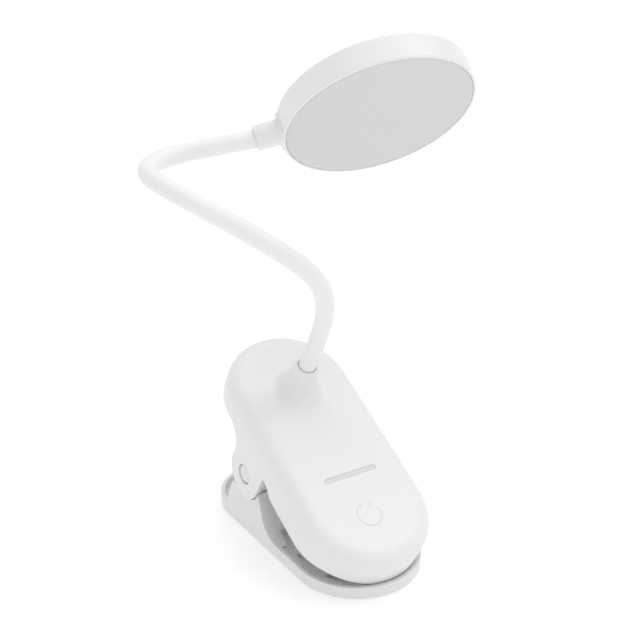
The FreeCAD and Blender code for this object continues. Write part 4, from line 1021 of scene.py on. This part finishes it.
# CAD pieces whose shape is right keep it and get their finish
finishes = {
    "bottom_cover": whitePlastic, "upper_jaw_pad": softPad,
    "touch_electrode": copperFoil, "touch_spring": springSteel, "control_board": circuitBoard,
    "board_components": blackChips, "battery_foam": greyFoam, "battery_pack": batteryPouch,
    "battery_leads": redLead, "usb_board": circuitBoard, "usb_socket": platedSteel,
    "cover_screws": zincScrew, "board_screws": zincScrew, "neck_anchor": anchorPlastic,
    "reflector_ring": reflectorWhite, "led_board": whiteBoard,
    "led_row": ledPhosphor, "head_screws": zincScrew, "head_anchor": anchorPlastic}
for name, node in nodes.items():
    finish = springSteel if name.startswith("neck_core") else finishes.get(name)
    if finish:
        node.data.materials.clear()
        node.data.materials.append(finish)
print("stage: inner parts finished")

# floor, light and camera
studio = {"floor": 30.0, "floorRise": ((0.7, 0.0), (0.8, 0.25), (0.9, 1.1), (1.0, 3.2)),
          "floorDrop": 0.0002, "floorTone": (0.62, 0.62, 0.62, 1), "floorGlow": 0.42, "world": 0.695,
          "sun": 1.31, "sunSpread": 70.0, "sunFrom": (0.25, 0.06, 1.0), "keyPower": 0.5, "keySize": 0.35,
          "keyFrom": (0.45, -0.35, 0.95), "keyAim": (0, 0, 0.1)}
shot = {"azimuth": -32.79, "elevation": 21.84, "distance": 451.5, "target": (0.43, -3.49, 97.97),
        "lens": 63.27}


def buildFloor():
    # a wide disc whose far edge turns gently up
    reach = studio["floor"] / 2
    bm = turned([(0, 0)] + [(reach * share, up) for share, up in studio["floorRise"]])
    if sum(face.normal.z for face in bm.faces) < 0:
        bmesh.ops.reverse_faces(bm, faces=bm.faces)
    floor = objectFrom(bm, "studio_floor")
    floor.data.transform(Matrix.Translation((0, 0, -studio["floorDrop"])))
    material, tree, shader, place = newMaterial("Studio floor")
    soft = noise(tree, place, 3.0, 2.0, 0.5)
    tone = Vector(studio["floorTone"])
    colour = mixColours(tree, soft, tuple(tone), tuple(tone * 0.99))
    tree.links.new(colour, shader.inputs["Base Color"])
    fill(shader, Roughness=0.9, Specular_IOR_Level=0.0, Emission_Color=(1, 1, 1, 1),
         Emission_Strength=studio["floorGlow"])
    floor.data.materials.append(material)


def buildLights():
    sun = bpy.data.lights.new("wide_sun", "SUN")
    sun.energy = studio["sun"]
    sun.angle = math.radians(studio["sunSpread"])
    linked("wide_sun", sun).rotation_euler = Vector(studio["sunFrom"]).to_track_quat("Z", "Y").to_euler()
    lamp = bpy.data.lights.new("key_light", "AREA")
    lamp.energy = studio["keyPower"]
    lamp.size = studio["keySize"]
    holder = linked("key_light", lamp)
    holder.location = studio["keyFrom"]
    aim = Vector(studio["keyAim"]) - Vector(studio["keyFrom"])
    holder.rotation_euler = aim.to_track_quat("-Z", "Y").to_euler()


def buildCamera():
    azimuth, elevation = math.radians(shot["azimuth"]), math.radians(shot["elevation"])
    back = Vector((math.sin(azimuth) * math.cos(elevation), -math.cos(azimuth) * math.cos(elevation),
                   math.sin(elevation)))
    camera = bpy.data.cameras.new("studio_camera")
    camera.lens = shot["lens"]
    camera.sensor_width = 36
    camera.clip_start = 0.01
    holder = linked("studio_camera", camera)
    holder.location = (Vector(shot["target"]) + back * shot["distance"]) * metres
    holder.rotation_euler = (-back).to_track_quat("-Z", "Y").to_euler()
    bpy.context.scene.camera = holder


buildFloor()
buildLights()
buildCamera()
world = bpy.data.worlds.new("Studio sky")
world.use_nodes = True
fill(world.node_tree.nodes["Background"], Color=(1, 1, 1, 1), Strength=studio["world"])
bpy.context.scene.world = world
bpy.context.scene.view_settings.view_transform = "Standard"
print("stage: studio ready")
